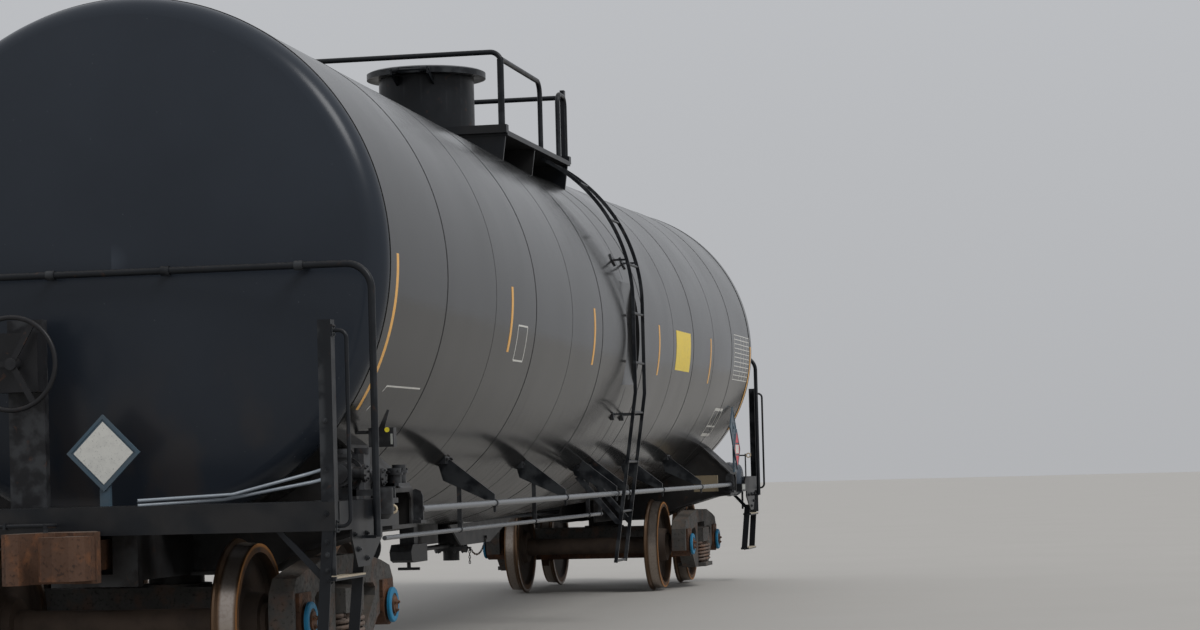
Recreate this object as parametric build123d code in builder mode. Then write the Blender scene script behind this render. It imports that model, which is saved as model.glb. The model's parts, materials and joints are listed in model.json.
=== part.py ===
from build123d import *
import math
import os

# Railway tank car, jacketed, standing on its wheels. Millimetres.
# X runs along the car, +Y is the far side, +Z is up, z = 0 at the tips of the wheel flanges.

# Driving dimensions of the running gear
FLANGE_HEIGHT = 28.0
TREAD_RADIUS = 457.0
AXLE_Z = FLANGE_HEIGHT + TREAD_RADIUS
TRUCK_X = 6900.0
WHEELBASE_HALF = 889.0
JOURNAL_Y = 1003.5
JOURNAL_RADIUS = 78.5
RUNNING_GAP = 0.05
CENTRE_PLATE_Z = 682.0

# Driving dimensions of the tank
TANK_RADIUS = 1585.0
TANK_MID_Z = 2456.0
TANK_SLOPE = 0.0178
RIM_X = 7575.0
KNUCKLE_RADIUS = 150.0
DISH_RADIUS = 6500.0

# Driving dimensions of the ends
PULLING_FACE_X = 8965.0
STRIKER_X = 8265.0
COUPLER_Z = FLANGE_HEIGHT + 876.0
PLATFORM_Z = 1175.0
PLATFORM_Y = 1490.0
HANDRAIL_X = 7950.0
HANDRAIL_Y = 1575.0
HANDRAIL_TOP_Z = 2520.0
POST_X = 8468.0
POST_Y = 1450.0
PIPE_RADIUS = 21.0
GRAB_RADIUS = 11.0

# Driving dimensions of the sides and the top
SIDE_PIPE_Y = 1450.0
SIDE_PIPE_Z = 1098.0
SIDE_PIPE_HALF = 6600.0
TRAIN_PIPE_Y = 420.0
TRAIN_PIPE_Z = 850.0
LADDER_X = 280.0
LADDER_HALF = 220.0
LADDER_Y = 1628.0
HOUSING_X = -450.0
HOUSING_RADIUS = 400.0
HOUSING_TOP_Z = 4620.0
TOP_WALK_Z = 4030.0
RAILING_Y = 900.0
RAILING_TOP_Z = 4660.0
RAILING_X = (-1550.0, 920.0)

os.makedirs("parts", exist_ok=True)


def tank_axis_z(x):
    """Height of the sloping tank axis at x."""
    return TANK_MID_Z + TANK_SLOPE * abs(x)


def tank_side_y(x, z):
    """Half width of the jacket at x and height z."""
    return math.sqrt(TANK_RADIUS**2 - (z - tank_axis_z(x)) ** 2)


def tube(points, radius, bend):
    """Round bar along straight runs joined by bends of one radius."""
    with BuildLine() as route:
        if len(points) > 2:
            FilletPolyline(*points, radius=bend)
        else:
            Line(*points)
    with BuildSketch(Plane(origin=route.line @ 0, z_dir=route.line % 0)) as section:
        Circle(radius)
    sweep(sections=section.sketch, path=route.line)


def block(x_range, y_range, z_range, mode=Mode.ADD):
    """Box given by its limits."""
    middle = [(low + high) / 2 for low, high in (x_range, y_range, z_range)]
    size = [high - low for low, high in (x_range, y_range, z_range)]
    with Locations(tuple(middle)):
        Box(*size, mode=mode)


def plate_x(outline, x, thickness, mode=Mode.ADD):
    """Plate across the car, outline in (y, z), centred on x."""
    with BuildSketch(Plane.YZ.offset(x - thickness / 2)) as face:
        with BuildLine():
            Polyline(*outline, close=True)
        make_face()
    extrude(face.sketch, amount=thickness, mode=mode)


def plate_y(outline, y, thickness, mode=Mode.ADD):
    """Plate along the car, outline in (x, z), centred on y."""
    with BuildSketch(Plane(origin=(0, y - thickness / 2, 0), x_dir=(-1, 0, 0), z_dir=(0, 1, 0))) as face:
        with BuildLine():
            Polyline(*[(-x, z) for x, z in outline], close=True)
        make_face()
    extrude(face.sketch, amount=thickness, mode=mode)


def finish(piece, name):
    """Label a sub-part and write its STEP file."""
    piece.part.label = name
    export_step(piece.part, f"parts/{name}.step")


# Tank jacket: two straight barrels that fall towards the middle, each with a dished head
dish_centre = RIM_X - math.sqrt((DISH_RADIUS - KNUCKLE_RADIUS) ** 2 - (TANK_RADIUS - KNUCKLE_RADIUS) ** 2)
knuckle_angle = math.degrees(math.atan2(TANK_RADIUS - KNUCKLE_RADIUS, RIM_X - dish_centre))
barrel_plane = Plane(origin=(0, 0, TANK_MID_Z), x_dir=(1, 0, TANK_SLOPE), z_dir=(0, -1, 0))
POCKET_DEPTH = 62.0
POCKET_HALF_X = 290.0
POCKET_HALF_Z = 480.0

with BuildPart() as tank_jacket:
    with BuildSketch(barrel_plane):
        with BuildLine():
            Line((-60, 0), (-60, TANK_RADIUS))
            Line((-60, TANK_RADIUS), (RIM_X, TANK_RADIUS))
            CenterArc((RIM_X, TANK_RADIUS - KNUCKLE_RADIUS), KNUCKLE_RADIUS, knuckle_angle, 90 - knuckle_angle)
            CenterArc((dish_centre, 0), DISH_RADIUS, 0, knuckle_angle)
            Line((dish_centre + DISH_RADIUS, 0), (-60, 0))
        make_face()
    revolve(axis=Axis((0, 0, TANK_MID_Z), (1, 0, TANK_SLOPE)))
    split(bisect_by=Plane.YZ, keep=Keep.TOP)
    mirror(about=Plane.YZ)
    for side in (-1, 1):
        with Locations((LADDER_X, side * TANK_RADIUS, TANK_MID_Z)):
            Box(2 * POCKET_HALF_X, 2 * POCKET_DEPTH, 2 * POCKET_HALF_Z, mode=Mode.SUBTRACT)
finish(tank_jacket, "tank_jacket")
tank_solid = tank_jacket.part

# Stub sills: box sections under each end of the tank, with the striker at the mouth
SILL_HALF = 190.0
SILL_WALL = 20.0
SILL_BOTTOM_Z = 745.0
SILL_INNER_X = 5450.0
with BuildPart() as stub_sills:
    for end in (-1, 1):
        limits = sorted((end * SILL_INNER_X, end * (STRIKER_X - 80)))
        block(limits, (-SILL_HALF, SILL_HALF), (SILL_BOTTOM_Z, 1085))
        block(limits, (-SILL_HALF + SILL_WALL, SILL_HALF - SILL_WALL), (SILL_BOTTOM_Z, 1065), Mode.SUBTRACT)
        block(sorted((end * (STRIKER_X - 80), end * STRIKER_X)), (-260, 260), (720, 1110))
        block(sorted((end * (STRIKER_X - 81), end * (STRIKER_X + 1))), (-110, 110), (790, 1020), Mode.SUBTRACT)
        block(sorted((end * (TRUCK_X - 200), end * (TRUCK_X + 200))), (-170, 170), (SILL_BOTTOM_Z, 1065))
    for end in (-1, 1):
        with Locations((end * TRUCK_X, 0, (CENTRE_PLATE_Z + SILL_BOTTOM_Z) / 2 + 1)):
            Cylinder(170, SILL_BOTTOM_Z - CENTRE_PLATE_Z - 2)
    add(tank_solid, mode=Mode.SUBTRACT)
finish(stub_sills, "stub_sills")

# Body bolsters: two webs and a sloping outer plate at each truck, with a jacking pocket
BOLSTER_WEB_X = 215.0
BOLSTER_WEB = 16.0
BOLSTER_END_Y = 1432.0
BOLSTER_PAD_Z = 1012.0
bolster_web = [
    (SILL_HALF, 760), (620, 760), (860, 880), (1240, 985), (BOLSTER_END_Y, BOLSTER_PAD_Z),
    (BOLSTER_END_Y, 1225), (1140, 1500), (900, 1500), (SILL_HALF, 1150),
]
with BuildPart() as body_bolsters:
    for end in (-1, 1):
        for side in (-1, 1):
            for web in (-BOLSTER_WEB_X, BOLSTER_WEB_X):
                plate_x([(side * y, z) for y, z in bolster_web], end * TRUCK_X + web, BOLSTER_WEB)
            lower = [
                (SILL_HALF, 760), (620, 760), (860, 880), (1240, 985), (BOLSTER_END_Y + 20, BOLSTER_PAD_Z),
                (BOLSTER_END_Y + 20, BOLSTER_PAD_Z - 22), (1244, 963), (868, 858), (628, 738), (SILL_HALF, 738),
            ]
            plate_x([(side * y, z) for y, z in lower], end * TRUCK_X, 560)
            upper = [
                (BOLSTER_END_Y, BOLSTER_PAD_Z), (BOLSTER_END_Y + 14, BOLSTER_PAD_Z), (BOLSTER_END_Y + 14, 1231),
                (1150, 1512), (1100, 1512), (1140, 1500), (BOLSTER_END_Y, 1225),
            ]
            plate_x([(side * y, z) for y, z in upper], end * TRUCK_X, 2 * BOLSTER_WEB_X + 40)
            mouth = [
                (-190, BOLSTER_PAD_Z), (-190, 1165), (-150, 1205), (150, 1205), (190, 1165), (190, BOLSTER_PAD_Z),
            ]
            plate_y([(end * TRUCK_X + x, z) for x, z in mouth], side * (BOLSTER_END_Y + 7), 40, Mode.SUBTRACT)
    for end in (-1, 1):
        with Locations((end * TRUCK_X, TRAIN_PIPE_Y, TRAIN_PIPE_Z)):
            Cylinder(PIPE_RADIUS + 14, 600, rotation=(0, 90, 0), mode=Mode.SUBTRACT)
    add(tank_solid, mode=Mode.SUBTRACT)
finish(body_bolsters, "body_bolsters")

# End platforms: side plates with a cut-out, end sill, walkway and the brackets of the steps
PLATFORM_END_X = 8520.0
PLATFORM_INNER_X = TRUCK_X + 290
WALK_INNER_X = 7925.0
platform_side = [
    (PLATFORM_INNER_X, 1015), (PLATFORM_END_X, 1015), (PLATFORM_END_X, PLATFORM_Z), (7520, PLATFORM_Z),
    (7440, 1100), (PLATFORM_INNER_X, 1100),
]
step_bracket = [(7560, 1015), (8190, 1015), (8190, 960), (8080, 800), (7850, 800), (7560, 960)]
with BuildPart() as end_platforms:
    for end in (-1, 1):
        for side in (-1, 1):
            plate_y([(end * x, z) for x, z in platform_side], side * PLATFORM_Y, 12)
            plate_y([(end * x, z) for x, z in step_bracket], side * PLATFORM_Y, 12)
        block(sorted((end * (PLATFORM_END_X - 14), end * PLATFORM_END_X)), (-1484, 1484), (1015, PLATFORM_Z))
        block(sorted((end * (PLATFORM_END_X - 80), end * PLATFORM_END_X)), (-1484, 1484), (1015, 1027))
        block(sorted((end * WALK_INNER_X, end * (PLATFORM_END_X - 14))), (-1484, 1484), (PLATFORM_Z - 30, PLATFORM_Z))
        block(sorted((end * PLATFORM_INNER_X, end * (PLATFORM_INNER_X + 14))), (-1484, 1484), (1015, 1100))
    for end in (-1, 1):
        block(
            sorted((end * (PLATFORM_INNER_X - 10), end * STRIKER_X)),
            (-260, 260), (700, 1110), Mode.SUBTRACT,
        )
        for side in (-1, 1):
            block(
                sorted((end * (POST_X - 38), end * (POST_X + 38))),
                sorted((side * (POST_Y - 45), side * (POST_Y + 60))), (1010, PLATFORM_Z + 10), Mode.SUBTRACT,
            )
    add(tank_solid, mode=Mode.SUBTRACT)
finish(end_platforms, "end_platforms")

# End handrails: one pipe over each head, down to the step brackets, held by clips on the head
with BuildPart() as end_handrails:
    for end in (-1, 1):
        x = end * HANDRAIL_X
        for side in (-1, 1):
            tube(
                [(x, side * HANDRAIL_Y, 965), (x, side * HANDRAIL_Y, HANDRAIL_TOP_Z), (x, 0, HANDRAIL_TOP_Z)],
                PIPE_RADIUS, 150,
            )
            block((x - 30, x + 30), sorted((side * (PLATFORM_Y + 6), side * HANDRAIL_Y)), (958, 975))
            for clip_y in (350, 1150):
                block(
                    sorted((x, end * (RIM_X + 150))),
                    (side * clip_y - 25, side * clip_y + 25), (HANDRAIL_TOP_Z - 5, HANDRAIL_TOP_Z + 5),
                )
    add(tank_solid, mode=Mode.SUBTRACT)
finish(end_handrails, "end_handrails")

# Grab posts: angle sections at the four corners, each with a tall grab iron
POST_TOP_Z = 2175.0
POST_FOOT_Z = 770.0
with BuildPart() as grab_posts:
    for end in (-1, 1):
        for side in (-1, 1):
            x = end * POST_X
            y = side * (POST_Y + 42)
            block((x - 38, x + 38), sorted((y, y - side * 8)), (1015, POST_TOP_Z))
            block(sorted((x + end * 30, x + end * 38)), sorted((y, y - side * 76)), (POST_FOOT_Z, POST_TOP_Z))
            tube(
                [
                    (x, y, POST_TOP_Z - 60), (x, y + side * 78, POST_TOP_Z - 60),
                    (x, y + side * 78, 1040), (x, y, 1040),
                ],
                GRAB_RADIUS, 45,
            )
finish(grab_posts, "grab_posts")

# Sill steps: two treads at each corner on leaning straps, with a brace to the end sill
STEP_X = (7900.0, 8512.0)
STRAP_THICKNESS = 12.0
with BuildPart() as sill_steps:
    for end in (-1, 1):
        for side in (-1, 1):
            for step_x, top_z in zip(STEP_X, (860, 1015)):
                strap = [(side * 1484, top_z), (side * 1420, top_z), (side * 1370, 355), (side * 1434, 355)]
                plate_x(strap, end * step_x, STRAP_THICKNESS)
            for tread_z, tread_y in ((762, 1444), (378, 1408)):
                block(
                    sorted((end * (STEP_X[0] + 6), end * (STEP_X[1] - 6))),
                    sorted((side * (tread_y - 45), side * (tread_y + 45))), (tread_z - 22, tread_z),
                )
            brace = [(side * 1470, 730), (side * 1440, 700), (side * 1150, 1015), (side * 1190, 1015)]
            plate_x(brace, end * (POST_X + 24), STRAP_THICKNESS)
finish(sill_steps, "sill_steps")

# Couplers: shank, head with guard arm, and the closed knuckle
coupler_head = [
    (-430, 130), (-330, 150), (-250, 215), (-130, 235), (-100, 120), (-170, 60), (-180, -20), (-140, -95),
    (20, -150), (70, -205), (40, -240), (-120, -225), (-330, -150), (-430, -130),
]
knuckle = [
    (-165, 75), (-95, 130), (-110, 235), (10, 225), (80, 160), (95, 70), (75, -5), (40, -30), (5, -15),
    (0, 50), (-30, 90), (-90, 85), (-150, 40),
]
with BuildPart() as couplers:
    for end in (-1, 1):
        face = Plane(origin=(end * PULLING_FACE_X, 0, COUPLER_Z - 140), x_dir=(end, 0, 0), z_dir=(0, 0, 1))
        block(
            sorted((end * (STRIKER_X - 500), end * (PULLING_FACE_X - 425))), (-66, 66),
            (COUPLER_Z - 85, COUPLER_Z + 85),
        )
        with BuildSketch(face):
            with BuildLine():
                Polyline(*coupler_head, close=True)
            make_face()
        extrude(amount=280)
        with BuildSketch(face.offset(20)):
            with BuildLine():
                Polyline(*knuckle, close=True)
            make_face()
        extrude(amount=240)
finish(couplers, "couplers")

# Top walkway: gratings either side of the crest, cross members and saddle plates
saddle = [(430, TOP_WALK_Z - 40), (RAILING_Y + 20, TOP_WALK_Z - 40), (RAILING_Y - 20, 3700), (430, 3700)]
with BuildPart() as top_platform:
    for side in (-1, 1):
        block(RAILING_X, sorted((side * 430, side * (RAILING_Y + 40))), (TOP_WALK_Z - 40, TOP_WALK_Z))
        for saddle_x in (RAILING_X[0] + 20, HOUSING_X, RAILING_X[1] - 20):
            plate_x([(side * y, z) for y, z in saddle], saddle_x, 24)
    for cross_x in RAILING_X:
        block((cross_x - 40, cross_x + 40), (-RAILING_Y - 40, RAILING_Y + 40), (TOP_WALK_Z - 20, TOP_WALK_Z + 45))
    add(tank_solid, mode=Mode.SUBTRACT)
finish(top_platform, "top_platform")

# Top railing: pipe loop with a gap on each side for the ladder
with BuildPart() as top_railing:
    near_x, far_x = RAILING_X
    for side in (-1, 1):
        y = side * RAILING_Y
        tube(
            [(near_x, 0, RAILING_TOP_Z), (near_x, y, RAILING_TOP_Z), (near_x, y, TOP_WALK_Z + 45)],
            PIPE_RADIUS, 90,
        )
        tube(
            [(near_x, y, RAILING_TOP_Z - 60), (-110, y, RAILING_TOP_Z - 60), (-110, y, TOP_WALK_Z)],
            PIPE_RADIUS, 110,
        )
        tube(
            [
                (620, y, TOP_WALK_Z), (620, y, RAILING_TOP_Z - 60),
                (far_x, y, RAILING_TOP_Z - 60), (far_x, y, TOP_WALK_Z + 45),
            ],
            PIPE_RADIUS, 90,
        )
        block((far_x - 45, far_x + 15), (y - 8, y + 30), (TOP_WALK_Z + 45, RAILING_TOP_Z))
        block((near_x - 15, near_x + 40), (y - 8, y + 30), (TOP_WALK_Z + 45, RAILING_TOP_Z - 60))
    tube([(far_x, -RAILING_Y, RAILING_TOP_Z - 60), (far_x, RAILING_Y, RAILING_TOP_Z - 60)], PIPE_RADIUS, 90)
finish(top_railing, "top_railing")

# Protective housing round the top fittings, open upwards under its lid, with the lid's hinge pin
HOUSING_WALL = 14.0
LID_RADIUS = 500.0
HINGE_X = HOUSING_X - LID_RADIUS - 45
HINGE_Z = HOUSING_TOP_Z + 20
HINGE_PIN_RADIUS = 10.0
HINGE_ARM_Y = 120.0
HINGE_EAR_Y = 154.0
hinge_ear = [
    (HOUSING_X - 362, HOUSING_TOP_Z - 90), (HOUSING_X - 362, HOUSING_TOP_Z - 6), (HINGE_X + 22, HOUSING_TOP_Z - 6),
    (HINGE_X + 16, HINGE_Z + 16), (HINGE_X - 16, HINGE_Z + 16), (HINGE_X - 18, HOUSING_TOP_Z - 20),
]
with BuildPart() as housing:
    with Locations((HOUSING_X, 0, 3960)):
        Cylinder(HOUSING_RADIUS, HOUSING_TOP_Z - 3960, align=(Align.CENTER, Align.CENTER, Align.MIN))
        Cylinder(HOUSING_RADIUS + 25, 150, align=(Align.CENTER, Align.CENTER, Align.MIN))
    with Locations((HOUSING_X, 0, 4110)):
        Cylinder(
            HOUSING_RADIUS - HOUSING_WALL, HOUSING_TOP_Z - 4110,
            align=(Align.CENTER, Align.CENTER, Align.MIN), mode=Mode.SUBTRACT,
        )
    for side in (-1, 1):
        plate_y(hinge_ear, side * HINGE_EAR_Y, 14)
    with Locations((HINGE_X, 0, HINGE_Z)):
        Cylinder(HINGE_PIN_RADIUS, 2 * HINGE_EAR_Y + 30, rotation=(90, 0, 0))
    add(tank_solid, mode=Mode.SUBTRACT)
finish(housing, "housing")

# Valve fittings on the plate inside the housing
with BuildPart() as top_fittings:
    with Locations((HOUSING_X, 0, 4110)):
        Cylinder(HOUSING_RADIUS - 60, 40, align=(Align.CENTER, Align.CENTER, Align.MIN))
        with PolarLocations(200, 4):
            Cylinder(70, 230, align=(Align.CENTER, Align.CENTER, Align.MIN))
            Cylinder(95, 80, align=(Align.CENTER, Align.CENTER, Align.MIN))
finish(top_fittings, "top_fittings")

# Housing lid: flat dished cover with a deep rim, hinged at the side away from the ladder
HINGE_BARREL_RADIUS = 24.0
with BuildPart() as housing_lid:
    with BuildSketch(Plane.XZ):
        with BuildLine():
            Polyline(
                (HOUSING_X, HOUSING_TOP_Z + 2), (HOUSING_X + LID_RADIUS, HOUSING_TOP_Z + 2),
                (HOUSING_X + LID_RADIUS, HOUSING_TOP_Z + 50), (HOUSING_X + LID_RADIUS - 25, HOUSING_TOP_Z + 62),
                (HOUSING_X, HOUSING_TOP_Z + 75), close=True,
            )
        make_face()
    revolve(axis=Axis((HOUSING_X, 0, 0), (0, 0, 1)))
    for y in (-HINGE_ARM_Y, HINGE_ARM_Y):
        block((HINGE_X, HOUSING_X - 350), (y - 20, y + 20), (HOUSING_TOP_Z + 2, HINGE_Z + HINGE_BARREL_RADIUS))
        with Locations((HINGE_X, y, HINGE_Z)):
            Cylinder(HINGE_BARREL_RADIUS, 50, rotation=(90, 0, 0))
            Cylinder(HINGE_PIN_RADIUS + RUNNING_GAP, 60, rotation=(90, 0, 0), mode=Mode.SUBTRACT)
    block((HOUSING_X + 430, HOUSING_X + 560), (-45, 45), (HOUSING_TOP_Z + 6, HOUSING_TOP_Z + 34))
finish(housing_lid, "housing_lid")

# Side ladders: curved stiles over the tank, rungs, and stand-off arms to the jacket
RUNG_PITCH = 420.0
LADDER_FOOT = (1420.0, 510.0)
LADDER_KNEE_Z = 1950.0
LADDER_BEND_Z = 2730.0
LADDER_TOP = (RAILING_Y - 30, TOP_WALK_Z - 60)
with BuildPart() as side_ladders:
    for side in (-1, 1):
        for stile_x in (LADDER_X - LADDER_HALF, LADDER_X + LADDER_HALF):
            with BuildLine(Plane.YZ.offset(stile_x)) as stile:
                foot = Line((side * LADDER_FOOT[0], LADDER_FOOT[1]), (side * LADDER_Y, LADDER_KNEE_Z))
                rise = Line(foot @ 1, (side * LADDER_Y, LADDER_BEND_Z))
                TangentArc(rise @ 1, (side * LADDER_TOP[0], LADDER_TOP[1]), tangent=rise % 1)
            with BuildSketch(Plane(origin=stile.line @ 0, x_dir=(1, 0, 0), z_dir=stile.line % 0)):
                Rectangle(14, 30)
            sweep(path=stile.line, transition=Transition.RIGHT)
        for arm_z in (1770, 3080):
            for stile_x in (LADDER_X - LADDER_HALF, LADDER_X + LADDER_HALF):
                reach = tank_side_y(stile_x, arm_z) - 12
                outer = LADDER_Y - 35 if arm_z > LADDER_BEND_Z else LADDER_Y - 28
                block((stile_x - 7, stile_x + 7), sorted((side * reach, side * outer)), (arm_z - 8, arm_z + 8))
    add(tank_solid, mode=Mode.SUBTRACT)
finish(side_ladders, "side_ladders")

# Ladder rungs: round bars between the stiles
RUNG_LENGTH = 2 * LADDER_HALF - 14.0
LADDER_LEAN = (LADDER_Y - LADDER_FOOT[0]) / (LADDER_KNEE_Z - LADDER_FOOT[1])
with BuildPart() as ladder_rungs:
    for side in (-1, 1):
        for step in range(6):
            z = LADDER_FOOT[1] + 15 + step * RUNG_PITCH
            y = side * min(LADDER_Y, LADDER_FOOT[0] + LADDER_LEAN * (z - LADDER_FOOT[1]))
            with Locations((LADDER_X, y, z)):
                Cylinder(GRAB_RADIUS, RUNG_LENGTH, rotation=(0, 90, 0))
finish(ladder_rungs, "ladder_rungs")

# Side pipes: long hand pipes along both sides
with BuildPart() as side_pipes:
    for side in (-1, 1):
        y = side * SIDE_PIPE_Y
        tube([(-SIDE_PIPE_HALF, y, SIDE_PIPE_Z), (SIDE_PIPE_HALF, y, SIDE_PIPE_Z)], PIPE_RADIUS, 1)
finish(side_pipes, "side_pipes")

# Pipe braces: flat bars from the jacket down to the side pipes
BRACE_X = (-4500.0, -2100.0, LADDER_X - 260, LADDER_X + 260, 2300.0, 4600.0)
brace_arm = [
    (1050, 1400), (1095, 1440), (SIDE_PIPE_Y + 4, SIDE_PIPE_Z + 60), (SIDE_PIPE_Y + 4, SIDE_PIPE_Z + 21.5),
    (SIDE_PIPE_Y - 60, SIDE_PIPE_Z + 21.5), (1090, 1260),
]
with BuildPart() as pipe_braces:
    for side in (-1, 1):
        for brace_x in BRACE_X:
            plate_x([(side * y, z) for y, z in brace_arm], brace_x, 20)
            block(
                (brace_x - 90, brace_x + 90), sorted((side * 1050, side * 1130)),
                (tank_axis_z(brace_x) - 1160, tank_axis_z(brace_x) - 1100),
            )
    add(tank_solid, mode=Mode.SUBTRACT)
finish(pipe_braces, "pipe_braces")

# Brake control valve: pipe bracket with two castings, on the near end's platform
with BuildPart() as control_valve:
    block((-7600, -7360), (-1440, -1120), (1176, 1440))
    with Locations((-7480, -1455, 1300)):
        Cylinder(75, 110, rotation=(90, 0, 0))
    with Locations((-7280, -1330, 1260)):
        Cylinder(80, 180, rotation=(0, 90, 0))
    block((-7640, -7204), (-1484, -1150), (1140, 1176))
    add(end_platforms.part, mode=Mode.SUBTRACT)
    add(tank_solid, mode=Mode.SUBTRACT)
finish(control_valve, "control_valve")

# Air reservoir: cylinder with rounded ends, lying across the far end beside the tank
RESERVOIR_X = 7560.0
RESERVOIR_RADIUS = 185.0
RESERVOIR_Z = 1150.0
with BuildPart() as air_reservoir:
    with Locations((RESERVOIR_X, -1225, RESERVOIR_Z)):
        Cylinder(RESERVOIR_RADIUS, 450, rotation=(90, 0, 0))
    fillet(air_reservoir.edges().filter_by(GeomType.CIRCLE), 90)
    add(tank_solid, mode=Mode.SUBTRACT)
finish(air_reservoir, "air_reservoir")

# Brake cylinder and its lever under the tank, near end
with BuildPart() as brake_cylinder:
    with Locations((-4700, -480, 815)):
        Cylinder(125, 420, rotation=(0, 90, 0))
    with Locations((-5150, -480, 815)):
        Cylinder(28, 500, rotation=(0, 90, 0))
    block((-4800, -4600), (-560, -400), (900, 1100))
    add(tank_solid, mode=Mode.SUBTRACT)
finish(brake_cylinder, "brake_cylinder")

# Hand brake: stand, gear case and spoked wheel at the near end
BRAKE_Y = 470.0
BRAKE_Z = 2000.0
with BuildPart() as hand_brake:
    block((-8060, -8000), (BRAKE_Y - 110, BRAKE_Y + 110), (PLATFORM_Z, 2260))
    block((-8200, -8060), (BRAKE_Y - 130, BRAKE_Y + 130), (1840, 2180))
    with Locations((-8230, BRAKE_Y, BRAKE_Z)):
        Cylinder(35, 120, rotation=(0, 90, 0))
    with BuildSketch(Plane.XZ.offset(-BRAKE_Y)):
        with Locations((-8270, BRAKE_Z + 265)):
            Circle(14)
    revolve(axis=Axis((-8270, BRAKE_Y, BRAKE_Z), (1, 0, 0)))
    with Locations(Plane(origin=(-8270, BRAKE_Y, BRAKE_Z), x_dir=(0, 1, 0), z_dir=(1, 0, 0))):
        with PolarLocations(0, 3):
            Box(265, 34, 12, align=(Align.MIN, Align.CENTER, Align.CENTER))
finish(hand_brake, "hand_brake")

# Brake pipe: runs the length of the car beside the sills and below the barrel
with BuildPart() as brake_pipe:
    tube(
        [
            (-8560, 330, 830), (-8300, 330, 830), (-8000, TRAIN_PIPE_Y, TRAIN_PIPE_Z),
            (8000, TRAIN_PIPE_Y, TRAIN_PIPE_Z), (8300, 330, 830), (8560, 330, 830),
        ],
        PIPE_RADIUS, 150,
    )
finish(brake_pipe, "brake_pipe")

# Bottom outlet: saddle, valve body, nozzle and skid plates
with BuildPart() as bottom_outlet:
    with Locations((0, 0, 640)):
        Cylinder(110, 280, align=(Align.CENTER, Align.CENTER, Align.MIN))
        Cylinder(145, 40, align=(Align.CENTER, Align.CENTER, Align.MIN))
    with Locations((0, 0, 560)):
        Cylinder(70, 90, align=(Align.CENTER, Align.CENTER, Align.MIN))
    skid = [(-900, 880), (-520, 700), (520, 700), (1400, 890)]
    for y in (-210, 210):
        plate_y(skid, y, 16)
    add(tank_solid, mode=Mode.SUBTRACT)
finish(bottom_outlet, "bottom_outlet")

# Placard holders: pairs of diamond plates on the sides and one at each end
PLACARD_HALF = 222.0


def diamond(centre, half):
    """Corner points of an upright square standing on a corner."""
    return [
        (centre[0] - half, centre[1]), (centre[0], centre[1] + half),
        (centre[0] + half, centre[1]), (centre[0], centre[1] - half),
    ]


with BuildPart() as placard_holders:
    for side in (-1, 1):
        for centre in ((-side * 7030, 1480), (-side * 6770, 1715)):
            plate_y(diamond(centre, PLACARD_HALF), side * 1470, 8)
        stay = [(-side * 6880, 1230), (-side * 6920, 1230), (-side * 6920, 1600), (-side * 6880, 1600)]
        plate_y(stay, side * 1456, 20)
    for end in (-1, 1):
        plate_x(diamond((0, 1480), PLACARD_HALF), end * 8080, 8)
        block(sorted((end * 8040, end * 8076)), (-30, 30), (PLATFORM_Z, 1560))
finish(placard_holders, "placard_holders")

# Wheelsets: a turned axle with end caps, and two flanged wheels pressed on it
WHEEL_SEAT_RADIUS = 92.0
HUB_Y = (655.0, 850.0)
wheel_outline = [
    (HUB_Y[0], WHEEL_SEAT_RADIUS), (HUB_Y[0], 160), (700, 172), (714, 205), (718, 372), (704, 392), (676.5, 402),
    (676.5, 474), (688, AXLE_Z), (700, 481), (712, 461), (822, TREAD_RADIUS - 5), (822, 402), (766, 396),
    (745, 372), (741, 205), (758, 178), (HUB_Y[1], 165), (HUB_Y[1], WHEEL_SEAT_RADIUS),
]
axle_outline = [
    (0, 82), (560, 86), (600, WHEEL_SEAT_RADIUS), (HUB_Y[1], WHEEL_SEAT_RADIUS), (HUB_Y[1], 112), (880, 108),
    (885, WHEEL_SEAT_RADIUS), (892, JOURNAL_RADIUS), (1112, JOURNAL_RADIUS), (1112, 100), (1132, 100), (1132, 0),
]
for number, truck_end, axle_side in ((1, -1, -1), (2, -1, 1), (3, 1, -1), (4, 1, 1)):
    axle_x = truck_end * TRUCK_X + axle_side * WHEELBASE_HALF
    with BuildPart() as wheels:
        with BuildSketch(Plane.YZ.offset(axle_x)) as section:
            with BuildLine():
                Polyline(*[(y, AXLE_Z + r) for y, r in wheel_outline], close=True)
            make_face()
            mirror(about=Plane.YZ)
        revolve(axis=Axis((axle_x, 0, AXLE_Z), (0, 1, 0)))
    finish(wheels, f"wheelset_{number}_wheels")

    with BuildPart() as axle:
        with BuildSketch(Plane.YZ.offset(axle_x)):
            with BuildLine():
                Polyline(*[(y, AXLE_Z + r) for y, r in axle_outline], (0, AXLE_Z), close=True)
            make_face()
            mirror(about=Plane.YZ)
        revolve(axis=Axis((axle_x, 0, AXLE_Z), (0, 1, 0)))
    finish(axle, f"wheelset_{number}_axle")

# Trucks: cast side frames, bolster, springs, bearings with adapters, and brake beams
FRAME_HALF_Y = 72.0
JAW_HALF = 142.0
JAW_ROOF_Z = 650.0
BEARING_RADIUS = 126.0
BEARING_HALF = 92.0
SPRING_SEAT_Z = 262.0
SPRING_TOP_Z = 490.0
frame_half = [
    (0, 838), (420, 830), (800, 775), (1000, 735), (1075, 650), (1092, 560), (1086, 420), (1031, 420),
    (1031, JAW_ROOF_Z), (889 - JAW_HALF, JAW_ROOF_Z), (889 - JAW_HALF, 440), (690, 420), (430, 222), (0, 212),
]
window = [(350, 590), (350, 420), (410, 380), (640, 560), (650, 610), (600, 640), (400, 650)]

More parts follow.
